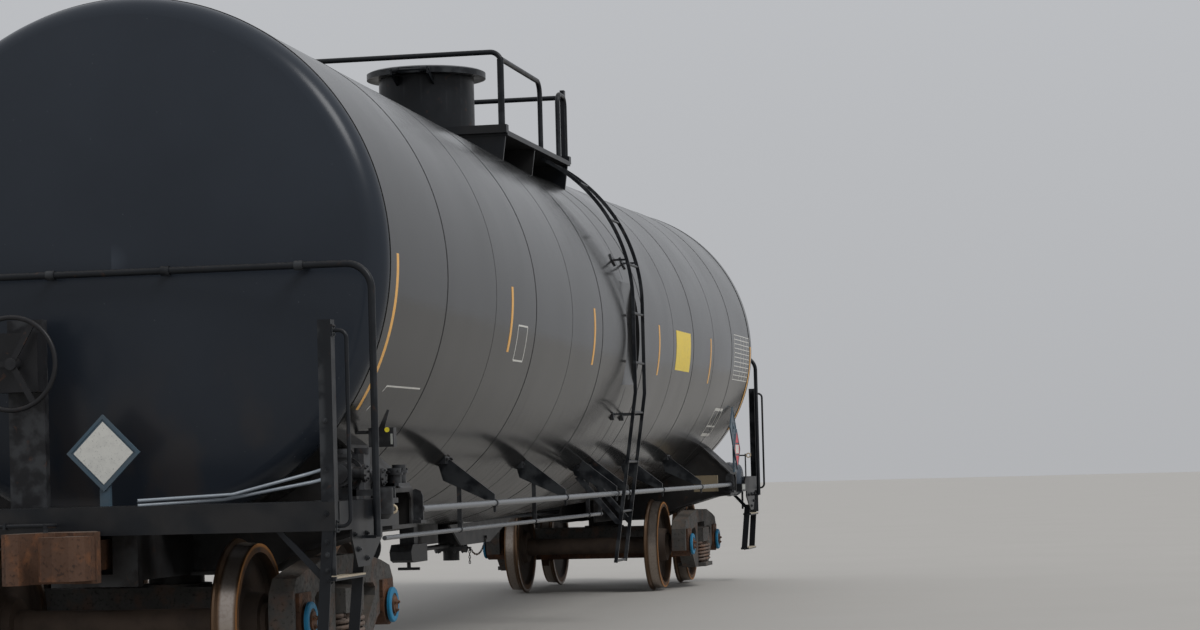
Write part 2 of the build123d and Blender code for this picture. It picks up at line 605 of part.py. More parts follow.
for truck, end in (("a", -1), ("b", 1)):
    centre_x = end * TRUCK_X
    with BuildPart() as side_frames:
        for side in (-1, 1):
            outline = [(centre_x + x, z) for x, z in frame_half]
            outline += [(centre_x - x, z) for x, z in reversed(frame_half[1:-1])]
            plate_y(outline, side * JOURNAL_Y, 2 * FRAME_HALF_Y)
            for hand in (-1, 1):
                plate_y([(centre_x + hand * x, z) for x, z in window], side * JOURNAL_Y, 200, Mode.SUBTRACT)
            bay = [(-235, SPRING_SEAT_Z), (235, SPRING_SEAT_Z), (235, 700), (-235, 700)]
            plate_y([(centre_x + x, z) for x, z in bay], side * JOURNAL_Y, 200, Mode.SUBTRACT)
            seat_y = (side * JOURNAL_Y - 150, side * JOURNAL_Y + 150)
            block((centre_x - 240, centre_x + 240), seat_y, (SPRING_SEAT_Z - 40, SPRING_SEAT_Z))
    finish(side_frames, f"truck_{truck}_side_frames")

    with BuildPart() as truck_bolster:
        belly = [
            (-1130, SPRING_TOP_Z), (-820, SPRING_TOP_Z), (-420, 400), (420, 400), (820, SPRING_TOP_Z),
            (1130, SPRING_TOP_Z), (1130, 640), (820, 665), (-820, 665), (-1130, 640),
        ]
        plate_x(belly, centre_x, 400)
        with Locations((centre_x, 0, 660)):
            Cylinder(215, CENTRE_PLATE_Z - 660, align=(Align.CENTER, Align.CENTER, Align.MIN))
    finish(truck_bolster, f"truck_{truck}_bolster")

    with BuildPart() as springs:
        for side in (-1, 1):
            for spring_x in (-150, 0, 150):
                for spring_y in (-75, 75):
                    with Locations((centre_x + spring_x, side * JOURNAL_Y + spring_y, SPRING_SEAT_Z)):
                        Cylinder(68, SPRING_TOP_Z - SPRING_SEAT_Z, align=(Align.CENTER, Align.CENTER, Align.MIN))
    finish(springs, f"truck_{truck}_springs")

    with BuildPart() as bearings:
        for hand in (-1, 1):
            axle_x = centre_x + hand * WHEELBASE_HALF
            for side in (-1, 1):
                with Locations((axle_x, side * JOURNAL_Y, AXLE_Z)):
                    Cylinder(BEARING_RADIUS, 2 * BEARING_HALF, rotation=(90, 0, 0))
                block(
                    (axle_x - 120, axle_x + 120), (side * JOURNAL_Y - 88, side * JOURNAL_Y + 88),
                    (AXLE_Z + 60, JAW_ROOF_Z),
                )
                with Locations((axle_x, side * JOURNAL_Y, AXLE_Z)):
                    Cylinder(JOURNAL_RADIUS + RUNNING_GAP, 200, rotation=(90, 0, 0), mode=Mode.SUBTRACT)
    finish(bearings, f"truck_{truck}_bearings")

    with BuildPart() as brake_beams:
        for hand in (-1, 1):
            beam_x = centre_x + hand * 330
            beam_reach = JOURNAL_Y - FRAME_HALF_Y
            block((beam_x - 30, beam_x + 30), (-beam_reach, beam_reach), (330, 390))
            for side in (-1, 1):
                with BuildSketch(Plane(origin=(0, side * 765 - 40, 0), x_dir=(-1, 0, 0), z_dir=(0, 1, 0))):
                    with Locations((-(centre_x + hand * WHEELBASE_HALF), AXLE_Z)):
                        Circle(520)
                        Circle(470, mode=Mode.SUBTRACT)
                    with Locations((-(centre_x + hand * 380), 400)):
                        Rectangle(130, 330, mode=Mode.INTERSECT)
                extrude(amount=80)
    finish(brake_beams, f"truck_{truck}_brake_beams")
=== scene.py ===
import json
import math

import bmesh
import bpy
from mathutils import Matrix, Vector


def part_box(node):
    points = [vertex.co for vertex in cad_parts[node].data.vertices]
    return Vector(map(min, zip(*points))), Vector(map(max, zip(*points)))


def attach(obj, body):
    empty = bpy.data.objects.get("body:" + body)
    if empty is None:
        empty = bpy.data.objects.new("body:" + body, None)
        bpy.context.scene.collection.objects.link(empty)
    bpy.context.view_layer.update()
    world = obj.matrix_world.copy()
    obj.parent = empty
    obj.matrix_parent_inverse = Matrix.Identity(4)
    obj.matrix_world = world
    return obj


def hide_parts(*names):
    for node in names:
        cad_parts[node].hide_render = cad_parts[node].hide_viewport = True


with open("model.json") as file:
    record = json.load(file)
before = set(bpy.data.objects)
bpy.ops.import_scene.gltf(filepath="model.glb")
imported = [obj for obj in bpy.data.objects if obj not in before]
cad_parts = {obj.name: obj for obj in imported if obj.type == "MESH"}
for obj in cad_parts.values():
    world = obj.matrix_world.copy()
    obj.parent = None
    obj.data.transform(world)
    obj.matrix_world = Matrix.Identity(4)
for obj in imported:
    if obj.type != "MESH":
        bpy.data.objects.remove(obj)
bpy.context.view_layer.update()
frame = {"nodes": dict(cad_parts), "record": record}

nodes = frame["nodes"]
ENDS = (-1, 1)
SIDES = (-1, 1)

# Places shared with the frame, in metres
TRUCK_X = 6.9
WHEELBASE_HALF = 0.889
AXLE_Z = 0.485
JOURNAL_Y = 1.0035
TANK_RADIUS = 1.585
TANK_MID_Z = 2.456
TANK_SLOPE = 0.0178
RIM_X = 7.575

# Camera: beyond the near end of the car and a little above the rails, looking along its side
CAMERA_AT = Vector((-23.242, -5.853, 1.329))
CAMERA_YAW = math.radians(-11.016)
CAMERA_PITCH = math.radians(1.066)
CAMERA_ROLL = math.radians(-1.495)
CAMERA_LENS = 83.81
CAMERA_RISE = 0.08296


def make_camera():
    """Camera with its axes worked out from yaw, pitch and roll."""
    ahead = Vector((
        math.cos(CAMERA_YAW) * math.cos(CAMERA_PITCH),
        -math.sin(CAMERA_YAW) * math.cos(CAMERA_PITCH),
        math.sin(CAMERA_PITCH),
    ))
    level = ahead.cross(Vector((0, 0, 1))).normalized()
    above = level.cross(ahead)
    right = math.cos(CAMERA_ROLL) * level + math.sin(CAMERA_ROLL) * above
    up = -math.sin(CAMERA_ROLL) * level + math.cos(CAMERA_ROLL) * above
    data = bpy.data.cameras.new("camera")
    data.lens = CAMERA_LENS
    data.sensor_width = 36
    data.shift_y = CAMERA_RISE
    data.clip_end = 400
    camera = bpy.data.objects.new("camera", data)
    axes = Matrix((right, up, -ahead)).transposed()
    camera.matrix_world = Matrix.Translation(CAMERA_AT) @ axes.to_4x4()
    bpy.context.scene.collection.objects.link(camera)
    bpy.context.scene.camera = camera


# Sockets of the mix node that carry the factor, the two colours and their blend
MIX_INPUTS = (0, 6, 7)
MIX_OUTPUT = 2


class Surface:
    """One procedural material; every texture is laid in the object's own metres."""

    def __init__(self, name):
        self.material = bpy.data.materials.new(name)
        self.material.use_nodes = True
        self.tree = self.material.node_tree
        self.shader = self.tree.nodes["Principled BSDF"]
        self.coords = self.tree.nodes.new("ShaderNodeTexCoord").outputs["Object"]

    def connect(self, value, socket):
        """Put a number, three numbers or another node's output into a socket; None leaves it as it is."""
        if isinstance(value, bpy.types.NodeSocket):
            self.tree.links.new(value, socket)
        elif isinstance(value, tuple):
            socket.default_value = (*value, 1.0)[:len(socket.default_value)]
        elif value is not None:
            socket.default_value = value

    def node(self, kind, **sockets):
        """New node with values or links in its named sockets; _ stands for a space."""
        made = self.tree.nodes.new("ShaderNode" + kind)
        for name, value in sockets.items():
            self.connect(value, made.inputs[name.replace("_", " ")])
        return made

    def texture(self, kind, scale, stretch=(1, 1, 1), **sockets):
        """Texture node in metres, squeezed along the axes by stretch."""
        place = self.node("Mapping", Vector=self.coords, Scale=stretch)
        return self.node(kind, Vector=place.outputs["Vector"], Scale=scale, **sockets)

    def noise(self, scale, detail=4.0, stretch=(1, 1, 1), distortion=0.0):
        """Soft noise from 0 to 1."""
        return self.texture("TexNoise", scale, stretch, Detail=detail, Distortion=distortion).outputs["Fac"]

    def cells(self, scale):
        """Distance to the nearest of scattered points."""
        return self.texture("TexVoronoi", scale).outputs["Distance"]

    def math(self, operation, first, second=0.0, third=0.0):
        """Arithmetic on values."""
        made = self.node("Math")
        made.operation = operation
        for value, socket in zip((first, second, third), made.inputs):
            self.connect(value, socket)
        return made.outputs["Value"]

    def times(self, first, second):
        """Product of two values."""
        return self.math("MULTIPLY", first, second)

    def between(self, value, low, high, out_low=0.0, out_high=1.0):
        """Smooth step from out_low at low to out_high at high."""
        made = self.node("MapRange", Value=value, From_Min=low, From_Max=high,
                         To_Min=out_low, To_Max=out_high)
        made.interpolation_type = "SMOOTHSTEP"
        return made.outputs["Result"]

    def within(self, value, low, high, blend):
        """1 between low and high, 0 outside, with a smooth step of width blend inside each limit."""
        return self.times(self.between(value, low, low + blend), self.between(value, high, high - blend))

    def mix(self, factor, first, second):
        """Blend of two colours."""
        made = self.node("Mix")
        made.data_type = "RGBA"
        for value, place in zip((factor, first, second), MIX_INPUTS):
            self.connect(value, made.inputs[place])
        return made.outputs[MIX_OUTPUT]

    def apart(self, vector):
        """X, Y and Z of a vector."""
        return tuple(self.node("SeparateXYZ", Vector=vector).outputs)

    def position(self):
        """X, Y and Z of the point, in the object's own metres."""
        return self.apart(self.coords)

    def geometry(self, name):
        """Output of the geometry node."""
        return self.node("NewGeometry").outputs[name]

    def normal_z(self):
        """1 where the surface looks up, 0 where it is upright, -1 where it looks down."""
        return self.apart(self.geometry("Normal"))[2]

    def facing_up(self):
        """1 where the surface looks up, 0 where it is upright or looks down."""
        return self.between(self.normal_z(), 0.15, 0.95)

    def edges(self):
        """1 on outward edges of the mesh, 0 on flats."""
        return self.between(self.geometry("Pointiness"), 0.53, 0.62)

    def finish(self, colour, roughness, bump=None, depth=0.0, strength=0.0, metallic=0.0, specular=None):
        """Wire the shader and return the material."""
        for name, value in (("Base Color", colour), ("Roughness", roughness), ("Metallic", metallic),
                            ("Specular IOR Level", specular)):
            self.connect(value, self.shader.inputs[name])
        if bump is not None:
            relief = self.node("Bump", Distance=depth, Strength=strength, Height=bump)
            self.connect(relief.outputs["Normal"], self.shader.inputs["Normal"])
        return self.material


# Colours that several finishes share; BLACK is two close tones
BLACK = ((0.008, 0.009, 0.011), (0.014, 0.016, 0.019))
DUST = (0.16, 0.135, 0.11)
RUST = (0.19, 0.075, 0.03)
# Near black: soot spots on the castings, and the painted shade in the openings of the gratings
SOOT_AND_SHADE = (0.008, 0.008, 0.008)


def jacket_paint():
    """Glossy dark barrel with dusty streaks, most of them low down; slate heads with pale specks."""
    s = Surface("jacket_paint")
    x, _, z = s.position()
    streaks = s.noise(3.2, 6, (6.0, 1.0, 0.22))
    blotches = s.noise(0.9, 5)
    low = s.between(z, 2.1, 0.9)
    dust = s.times(s.between(streaks, 0.45, 0.80), s.math("MULTIPLY_ADD", low, 0.16, 0.02))
    barrel = s.mix(dust, s.mix(blotches, (0.014, 0.014, 0.014), (0.020, 0.020, 0.020)), DUST)
    barrel_gloss = s.math("ADD", s.between(blotches, 0.3, 0.7, 0.14, 0.20), s.times(dust, 0.8))
    specks = s.between(s.cells(15.0), 0.050, 0.022)
    sparse = s.between(s.noise(2.0, 4), 0.42, 0.62)
    slate = s.mix(s.noise(1.3, 6), (0.014, 0.018, 0.025), (0.024, 0.030, 0.040))
    head = s.mix(s.times(specks, s.math("MULTIPLY_ADD", sparse, 0.30, 0.06)), slate, (0.25, 0.26, 0.27))
    grime = s.times(s.between(s.noise(2.4, 7, (1, 1, 0.6)), 0.50, 0.66), s.between(z, 2.2, 1.2))
    head = s.mix(s.times(grime, 0.18), head, (0.10, 0.065, 0.035))
    on_head = s.between(s.math("ABSOLUTE", x), RIM_X - 0.004, RIM_X + 0.004)
    colour = s.mix(on_head, barrel, head)
    roughness = s.math("ADD", barrel_gloss, s.times(on_head, s.math("SUBTRACT", 0.27, barrel_gloss)))
    waves = s.math("ADD", s.noise(0.75, 1.5, (1.6, 1, 0.8)), s.times(s.noise(26, 2), 0.012))
    return s.finish(colour, roughness, waves, 0.02, 0.22, specular=0.24)


def worn_paint(name, dark, light, shine, dust=0.18, rust=0.15, edge=0.35, grime=0.0):
    """Paint over steel: two close tones, dust on top faces, dull edges, a little rust in small spots."""
    s = Surface(name)
    cloud = s.noise(9.0, 6)
    grit = s.noise(90.0, 4)
    tone = s.mix(cloud, dark, light)
    film = s.times(s.between(s.noise(3.0, 6, (1, 1, 0.5)), 0.35, 0.65, 0.5, 1.0), grime)
    filmed = s.mix(film, tone, DUST)
    settled = s.times(s.facing_up(), s.between(grit, 0.35, 0.7, 0.0, dust))
    dusty = s.mix(settled, filmed, DUST)
    bare = s.times(s.edges(), s.between(cloud, 0.4, 0.6, 0.0, edge))
    worn = s.mix(bare, dusty, (0.09, 0.095, 0.10))
    patches = s.times(s.between(s.noise(14.0, 8, distortion=0.6), 0.64, 0.74), rust)
    rusted = s.mix(patches, worn, RUST)
    roughness = s.math("ADD", s.between(cloud, 0.3, 0.7, shine, shine + 0.10), s.times(patches, 0.5))
    return s.finish(rusted, roughness, grit, 0.0005, 0.2, specular=0.20)


def smooth_paint(name, colour, roughness):
    """Even paint of long pipes, where blotches would look like rope when seen along the pipe."""
    s = Surface(name)
    faded = tuple(0.88 * part for part in colour)
    return s.finish(s.mix(s.noise(0.8, 2), faded, colour), roughness, specular=0.4)


def cast_metal(name, dark, light, rust, grain=0.004):
    """Rough casting: rust in patches, dark grime in spots, dust on top faces, coarse grain."""
    s = Surface(name)
    cloud = s.noise(5.5, 8, distortion=0.4)
    fine = s.noise(48.0, 6)
    tone = s.mix(cloud, dark, light)
    rusted = s.mix(s.times(s.between(s.noise(8.5, 6), 0.48, 0.68), rust), tone, RUST)
    grime = s.mix(s.between(fine, 0.56, 0.7, 0.0, 0.55), rusted, SOOT_AND_SHADE)
    dusty = s.mix(s.times(s.facing_up(), s.between(cloud, 0.3, 0.7, 0.2, 0.6)), grime, DUST)
    return s.finish(dusty, s.between(fine, 0.3, 0.7, 0.62, 0.88), fine, grain, 0.45, specular=0.3)


def wheel_steel(number, axle_x):
    """Wheel and axle: brown plate, lighter hub, orange lines near the rim, a tread polished in a band."""
    s = Surface(f"wheel_steel_{number}")
    x, y, z = s.position()
    across = s.math("SUBTRACT", x, axle_x)
    above = s.math("SUBTRACT", z, AXLE_Z)
    radius = s.math("POWER", s.math("ADD", s.times(across, across), s.times(above, above)), 0.5)
    cloud = s.noise(6.0, 8)
    fine = s.noise(55.0, 6)
    off_middle = s.math("ABSOLUTE", y)
    brown = s.mix(cloud, (0.018, 0.013, 0.010), (0.050, 0.030, 0.018))
    hub = s.times(s.between(radius, 0.20, 0.14), s.between(cloud, 0.3, 0.6, 0.2, 0.8))
    plate = s.mix(hub, brown, (0.075, 0.050, 0.035))
    outer_face = s.between(off_middle, 0.812, 0.818)
    line = s.times(s.between(radius, 0.425, 0.442), outer_face)
    inner_line = s.times(s.between(radius, 0.395, 0.405), s.times(s.between(cloud, 0.3, 0.6), 0.35))
    orange = s.mix(s.math("MAXIMUM", line, inner_line), plate, (0.30, 0.125, 0.030))
    on_tread = s.times(s.between(radius, 0.447, 0.4505), s.between(off_middle, 0.8205, 0.8175))
    polished = s.times(on_tread, s.between(fine, 0.25, 0.6, 0.75, 1.0))
    band = s.between(s.math("ABSOLUTE", s.math("SUBTRACT", off_middle, 0.765)), 0.050, 0.030)
    steel = s.mix(band, (0.13, 0.080, 0.048), (0.36, 0.31, 0.27))
    colour = s.mix(polished, orange, steel)
    roughness = s.math("MULTIPLY_ADD", polished, -0.50, 0.78)
    metal = s.times(polished, 0.9)
    return s.finish(colour, roughness, fine, 0.0012, 0.2, metallic=metal)


# Width over which an accent colour begins, in metres
ZONE_BLEND = 0.001


def marked_paint(name, base, accent, zones):
    """Frame paint with an accent colour in zones, each ((x0, x1), (y0, y1), (z0, z1)) in metres."""
    s = Surface(name)
    place = s.position()
    cloud = s.noise(9.0, 6)
    grit = s.noise(90.0, 4)
    total = 0.0
    for zone in zones:
        inside = 1.0
        for value, (low, high) in zip(place, zone):
            border = s.within(value, low - ZONE_BLEND / 2, high + ZONE_BLEND / 2, ZONE_BLEND)
            inside = s.times(inside, border)
        total = s.math("ADD", total, inside)
    scuffed = s.times(total, s.between(grit, 0.25, 0.6, 0.55, 1.0))
    colour = s.mix(scuffed, s.mix(cloud, *base), accent)
    roughness = s.math("MULTIPLY_ADD", scuffed, 0.25, 0.34)
    return s.finish(colour, roughness, grit, 0.0005, 0.2, specular=0.20)


# Gratings: half a mesh along and across, and the limits of the walking faces
MESH_X, MESH_Y = 0.036, 0.016
TOP_WALK_X, TOP_WALK_Z = (-1.506, 0.876), (3.986, 4.034)
END_WALK_X, END_WALK_Z = (7.94, 8.50), (1.142, 1.178)


def walkway_paint():
    """Platform paint; the openings of the gratings are painted shade, a dark diamond lattice on the walking
    faces.
    """
    s = Surface("walkway_paint")
    x, y, z = s.position()
    strands = s.math("ADD", s.math("DIVIDE", s.math("PINGPONG", x, MESH_X), MESH_X),
                     s.math("DIVIDE", s.math("PINGPONG", y, MESH_Y), MESH_Y))
    # Painted shade: a near-black diamond lattice stands for the shade seen through the openings of the
    # grating
    hole_shade = s.between(s.math("ABSOLUTE", s.math("SUBTRACT", strands, 1.0)), 0.20, 0.32)
    on_top = s.times(s.within(z, *TOP_WALK_Z, 0.003), s.within(x, *TOP_WALK_X, 0.002))
    at_end = s.times(s.within(z, *END_WALK_Z, 0.002), s.within(s.math("ABSOLUTE", x), *END_WALK_X, 0.002))
    level = s.between(s.math("ABSOLUTE", s.normal_z()), 0.90, 0.95)
    shaded_opening = s.times(hole_shade, s.times(s.math("MAXIMUM", on_top, at_end), level))
    cloud = s.noise(9.0, 6)
    paint = s.mix(s.times(s.between(s.noise(3.0, 6), 0.35, 0.65), 0.08), s.mix(cloud, *BLACK), DUST)
    colour = s.mix(shaded_opening, paint, SOOT_AND_SHADE)
    roughness = s.math("MULTIPLY_ADD", shaded_opening, 0.5, 0.36)
    return s.finish(colour, roughness, s.math("SUBTRACT", 1.0, shaded_opening), 0.006, 0.6, specular=0.20)


def plain_marking(name, colour, roughness=0.45, wear=0.25):
    """Paint or film of a marking, faded a little in patches."""
    s = Surface(name)
    faded = tuple(0.86 * part + 0.02 for part in colour)
    fine = s.noise(30.0, 5)
    tone = s.mix(s.between(fine, 0.4, 0.75, 0.0, 1.0), colour, faded)
    scuffed = s.mix(s.between(s.noise(120.0, 3), 0.62, 0.7, 0.0, wear), tone, (0.05, 0.05, 0.05))
    return s.finish(scuffed, roughness, fine, 0.0003, 0.15)


# Finishes of the carried-over nodes and of the pieces made here
JACKET = jacket_paint()
FRAME_BLACK = worn_paint("frame_paint", *BLACK, 0.30)
PLATFORM_BLACK = worn_paint("platform_paint", (0.009, 0.009, 0.010), (0.017, 0.017, 0.018), 0.38, grime=0.08)
# Pipe paint: the pipes are black paint; this light grey is a painted reflection of the sky on them
PIPE_PAINTED_SHEEN = smooth_paint("pipe_paint", (0.125, 0.132, 0.142), 0.26)
SLATE = worn_paint("slate_paint", (0.040, 0.050, 0.066), (0.070, 0.084, 0.104), 0.26, dust=0.4, rust=0.05)
CAST_BLACK = worn_paint("cast_black", (0.010, 0.010, 0.011), (0.024, 0.024, 0.026), 0.34, rust=0.2)
GREY_CAST = cast_metal("grey_cast", (0.036, 0.035, 0.033), (0.100, 0.095, 0.088), 0.24)
RUSTY_CAST = cast_metal("rusty_cast", (0.048, 0.024, 0.015), (0.100, 0.050, 0.028), 0.55)
SPRING_RUST = cast_metal("spring_rust", (0.090, 0.066, 0.054), (0.20, 0.150, 0.125), 0.4, 0.002)
VALVE_STEEL = worn_paint("valve_steel", (0.10, 0.10, 0.10), (0.20, 0.20, 0.20), 0.36)
PLACARD_BLUE = worn_paint("placard_blue", (0.055, 0.090, 0.120), (0.080, 0.125, 0.160), 0.34, rust=0.05)
LINE_STEEL = smooth_paint("line_steel", (0.25, 0.28, 0.31), 0.24)
CHAIN_STEEL = cast_metal("chain_steel", (0.020, 0.018, 0.017), (0.060, 0.050, 0.044), 0.4, 0.001)
STRIPE = plain_marking("stripe_film", (0.86, 0.43, 0.055), 0.32)
PANEL_YELLOW = plain_marking("panel_yellow", (0.85, 0.62, 0.04), 0.40)
WHITE = plain_marking("marking_white", (0.66, 0.65, 0.60), 0.5, 0.4)
RED = plain_marking("placard_red", (0.62, 0.045, 0.06), 0.4)
PALE_PLATE = plain_marking("pale_plate", (0.36, 0.37, 0.34), 0.5)
TAN_PANEL = plain_marking("tan_panel", (0.21, 0.165, 0.10), 0.6, 0.4)
DOT_YELLOW = plain_marking("dot_yellow", (0.90, 0.75, 0.03), 0.35, 0.0)
CAP_BLUE = worn_paint("cap_blue", (0.010, 0.135, 0.26), (0.020, 0.21, 0.37), 0.42, 0.15, 0.05, 0.1)
BOLT_RUST = cast_metal("bolt_rust", (0.060, 0.030, 0.018), (0.120, 0.062, 0.036), 0.7, 0.001)
SEAM_DARK = plain_marking("seam_dark", (0.010, 0.010, 0.011), 0.7, 0.0)

# Accent paint: on the step treads, and on the eyes of the pull rods
TREAD_X, TREAD_HALF = 8.195, 0.287
TREAD_ZONES = [
    ((end * TREAD_X - TREAD_HALF, end * TREAD_X + TREAD_HALF), (-1.6, 1.6), heights)
    for end in ENDS for heights in ((0.752, 0.764), (0.366, 0.380))
]
STEP_PAINT = marked_paint("step_paint", BLACK, (0.42, 0.36, 0.27), TREAD_ZONES)
EYE_ZONES = [((-7.46, -7.38), (-1.56, -1.497), (1.05, 1.2)), ((7.50, 7.62), (-1.56, -1.497), (1.35, 1.5))]
ROD_PAINT = marked_paint("rod_paint", BLACK, (0.58, 0.48, 0.34), EYE_ZONES)

# Finish of the carried-over nodes: by the record's slot, or by name where a node has its own
SLOT_MATERIALS = {
    "jacket_paint": JACKET, "frame_paint": FRAME_BLACK, "pipe_paint": PIPE_PAINTED_SHEEN, "slate_paint": SLATE,
    "cast_black": CAST_BLACK, "grey_cast": GREY_CAST, "rusty_cast": RUSTY_CAST, "spring_rust": SPRING_RUST,
    "valve_steel": VALVE_STEEL, "placard_blue": PLACARD_BLUE,
}
WALKWAY = walkway_paint()
NODE_MATERIALS = {
    "sill_steps": STEP_PAINT, "end_platforms": WALKWAY, "top_platform": WALKWAY,
    "body_bolsters": PLATFORM_BLACK, "stub_sills": PLATFORM_BLACK,
}
SLOT_OF = {part["node"]: part["material_slot"] for part in frame["record"]["subparts"]}


def dress_nodes():
    """Give each carried-over node its finish."""
    for name, node in nodes.items():
        slot = SLOT_OF[name]
        if slot == "wheel_steel":
            low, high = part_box(name)
            material = wheel_steel(name.removeprefix("wheelset_"), (low.x + high.x) / 2)
        else:
            material = NODE_MATERIALS.get(name, SLOT_MATERIALS[slot])
        node.data.materials.clear()
        node.data.materials.append(material)


# Mesh building; edges sharper than this stay sharp in a smooth piece
SHARP_ANGLE = math.radians(35)


def rectangle(a0, a1, b0, b1):
    """Corners of a rectangle, in order from (a0, b0) to (a0, b1)."""
    return [(a0, b0), (a1, b0), (a1, b1), (a0, b1)]


def circle(centre, across, other, radius, count, turn=0.0):
    """Points evenly round a circle in the plane of two directions."""
    angles = [turn + math.tau * i / count for i in range(count)]
    return [centre + radius * (math.cos(a) * across + math.sin(a) * other) for a in angles]


class Shapes:
    """Collects simple closed shapes into one mesh."""

    def __init__(self):
        self.verts = []
        self.faces = []

    def add(self, verts, faces):
        """Add one shape."""
        start = len(self.verts)
        self.verts += [tuple(v) for v in verts]
        self.faces += [tuple(start + i for i in face) for face in faces]

    def rings(self, loops, closed=False):
        """Skin a list of loops of equal length; the ends are capped unless the skin closes on itself."""
        count = len(loops[0])
        verts = [point for loop in loops for point in loop]
        faces = []
        spans = len(loops) if closed else len(loops) - 1
        for row in range(spans):
            after = (row + 1) % len(loops)
            for i in range(count):
                j = (i + 1) % count
                faces.append((row * count + i, row * count + j, after * count + j, after * count + i))
        if not closed:
            faces.append(tuple(range(count))[::-1])
            faces.append(tuple((len(loops) - 1) * count + i for i in range(count)))
        self.add(verts, faces)

    def prism(self, start, end, radius, count=12, turn=0.0, end_radius=None):
        """Round or many-sided bar from start to end."""
        start, end = Vector(start), Vector(end)
        along = (end - start).normalized()
        across = along.orthogonal().normalized()
        other = along.cross(across)
        sizes = (radius, radius if end_radius is None else end_radius)
        self.rings([circle(at, across, other, size, count, turn) for at, size in zip((start, end), sizes)])

    def box(self, one, other):
        """Box by two opposite corners, in any order."""
        (x0, x1), (y0, y1), heights = (sorted(pair) for pair in zip(one, other))
        self.rings([[(x, y, z) for x, y in rectangle(x0, x1, y0, y1)] for z in heights])

    def hoop(self, centre, axis, profile, count):
        """Band round the x or y axis through centre; profile is (offset along the axis, radius)."""
        x, y, z = centre
        loops = []
        for i in range(count):
            out, up = math.cos(math.tau * i / count), math.sin(math.tau * i / count)
            if axis == "x":
                loops.append([(x + along, y + r * out, z + r * up) for along, r in profile])
            else:
                loops.append([(x + r * out, y + along, z + r * up) for along, r in profile])
        self.rings(loops, closed=True)

    def bent(self, points, radius, bend, count=12):
        """Round bar along straight runs joined by arcs of one radius."""
        points = [Vector(point) for point in points]
        course = [points[0]]
        for before, corner, after in zip(points, points[1:], points[2:]):
            inward, outward = (before - corner).normalized(), (after - corner).normalized()
            half = inward.angle(outward) / 2
            reach = bend / math.tan(half)
            centre = corner + (inward + outward).normalized() * (bend / math.sin(half))
            start = (corner + inward * reach - centre).normalized()
            end = (corner + outward * reach - centre).normalized()
            course += [centre + bend * start.slerp(end, i / 6) for i in range(7)]
        course.append(points[-1])
        across = (course[1] - course[0]).orthogonal().normalized()
        loops = []
        for i, place in enumerate(course):
            along = (course[min(i + 1, len(course) - 1)] - course[max(i - 1, 0)]).normalized()
            across = (across - along * across.dot(along)).normalized()
            loops.append(circle(place, across, along.cross(across), radius, count))
        self.rings(loops)

    def link(self, centre, along, across, ring, wire, stretch=0.0, count=16, sides=8):
        """Closed ring of round wire, drawn out along one axis."""
        centre, along, across = Vector(centre), Vector(along), Vector(across)
        normal = along.cross(across)
        loops = []
        for i in range(count):
            angle = math.tau * (i + 0.5) / count
            outward = math.cos(angle) * along + math.sin(angle) * across
            middle = centre + ring * outward + math.copysign(stretch, math.cos(angle)) * along
            loops.append(circle(middle, outward, normal, wire, sides))
        self.rings(loops, closed=True)

    def plate(self, outline, axis, low, high):
        """Flat plate between two values on an axis; the outline is in the other two, in order."""
        at = "xyz".index(axis)
        self.rings([[(*pair[:at], value, *pair[at:]) for pair in outline] for value in (low, high)])

    def bolt(self, at, normal, size=0.012, washer=True):
        """Hexagon head on a washer, standing on a face."""
        at, normal = Vector(at), Vector(normal).normalized()
        if washer:
            self.prism(at - normal * 0.001, at + normal * size * 0.22, size * 1.25, 16)
        self.prism(at, at + normal * size * 1.0, size, 6)
        self.prism(at + normal * size * 0.9, at + normal * size * 1.5, size * 0.5, 10)

    def bolt_ring(self, centre, normal, radius, count, size):
        """Bolts without washers, evenly round a flange."""
        normal = Vector(normal)
        across = normal.orthogonal().normalized()
        for at in circle(Vector(centre), across, normal.cross(across), radius, count, math.pi / count):
            self.bolt(at, normal, size, washer=False)

    def piece(self, name, material, body="car", slot="frame_paint", smooth=True):
        """Make the collected shapes into one mesh, in the frame's metres, that rides on a body."""
        mesh = bpy.data.meshes.new(name)
        mesh.from_pydata(self.verts, [], self.faces)
        mesh.validate()
        work = bmesh.new()
        work.from_mesh(mesh)
        bmesh.ops.recalc_face_normals(work, faces=work.faces)
        work.to_mesh(mesh)
        work.free()
        for face in mesh.polygons:
            face.use_smooth = smooth
        if smooth:
            mesh.set_sharp_from_angle(angle=SHARP_ANGLE)
        mesh.materials.append(material)
        piece = bpy.data.objects.new(name, mesh)
        bpy.context.scene.collection.objects.link(piece)
        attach(piece, body)
        return piece


def tank_axis_z(x):
    """Height of the sloping tank axis at x."""
    return TANK_MID_Z + TANK_SLOPE * abs(x)


def on_jacket(x, angle, side, lift=0.0):
    """Point on the barrel at x, angle above the axis in radians, on one side."""
    radius = TANK_RADIUS + lift
    return (x, side * radius * math.cos(angle), tank_axis_z(x) + radius * math.sin(angle))


def jacket_angle(x, z):
    """Angle above the tank axis of the jacket point at x and z."""
    return math.asin((z - tank_axis_z(x)) / TANK_RADIUS)


# Films on the jacket: height over it and depth of their backs, and the grid that follows its curve
MARK_LIFT = 0.0015
MARK_BACK = -0.002
MARK_STEP = math.radians(1.5)
MARK_STEP_X = 0.25
RIM_BAND_X = (7.435, 7.560)
RIM_BAND_LIFT = 0.004


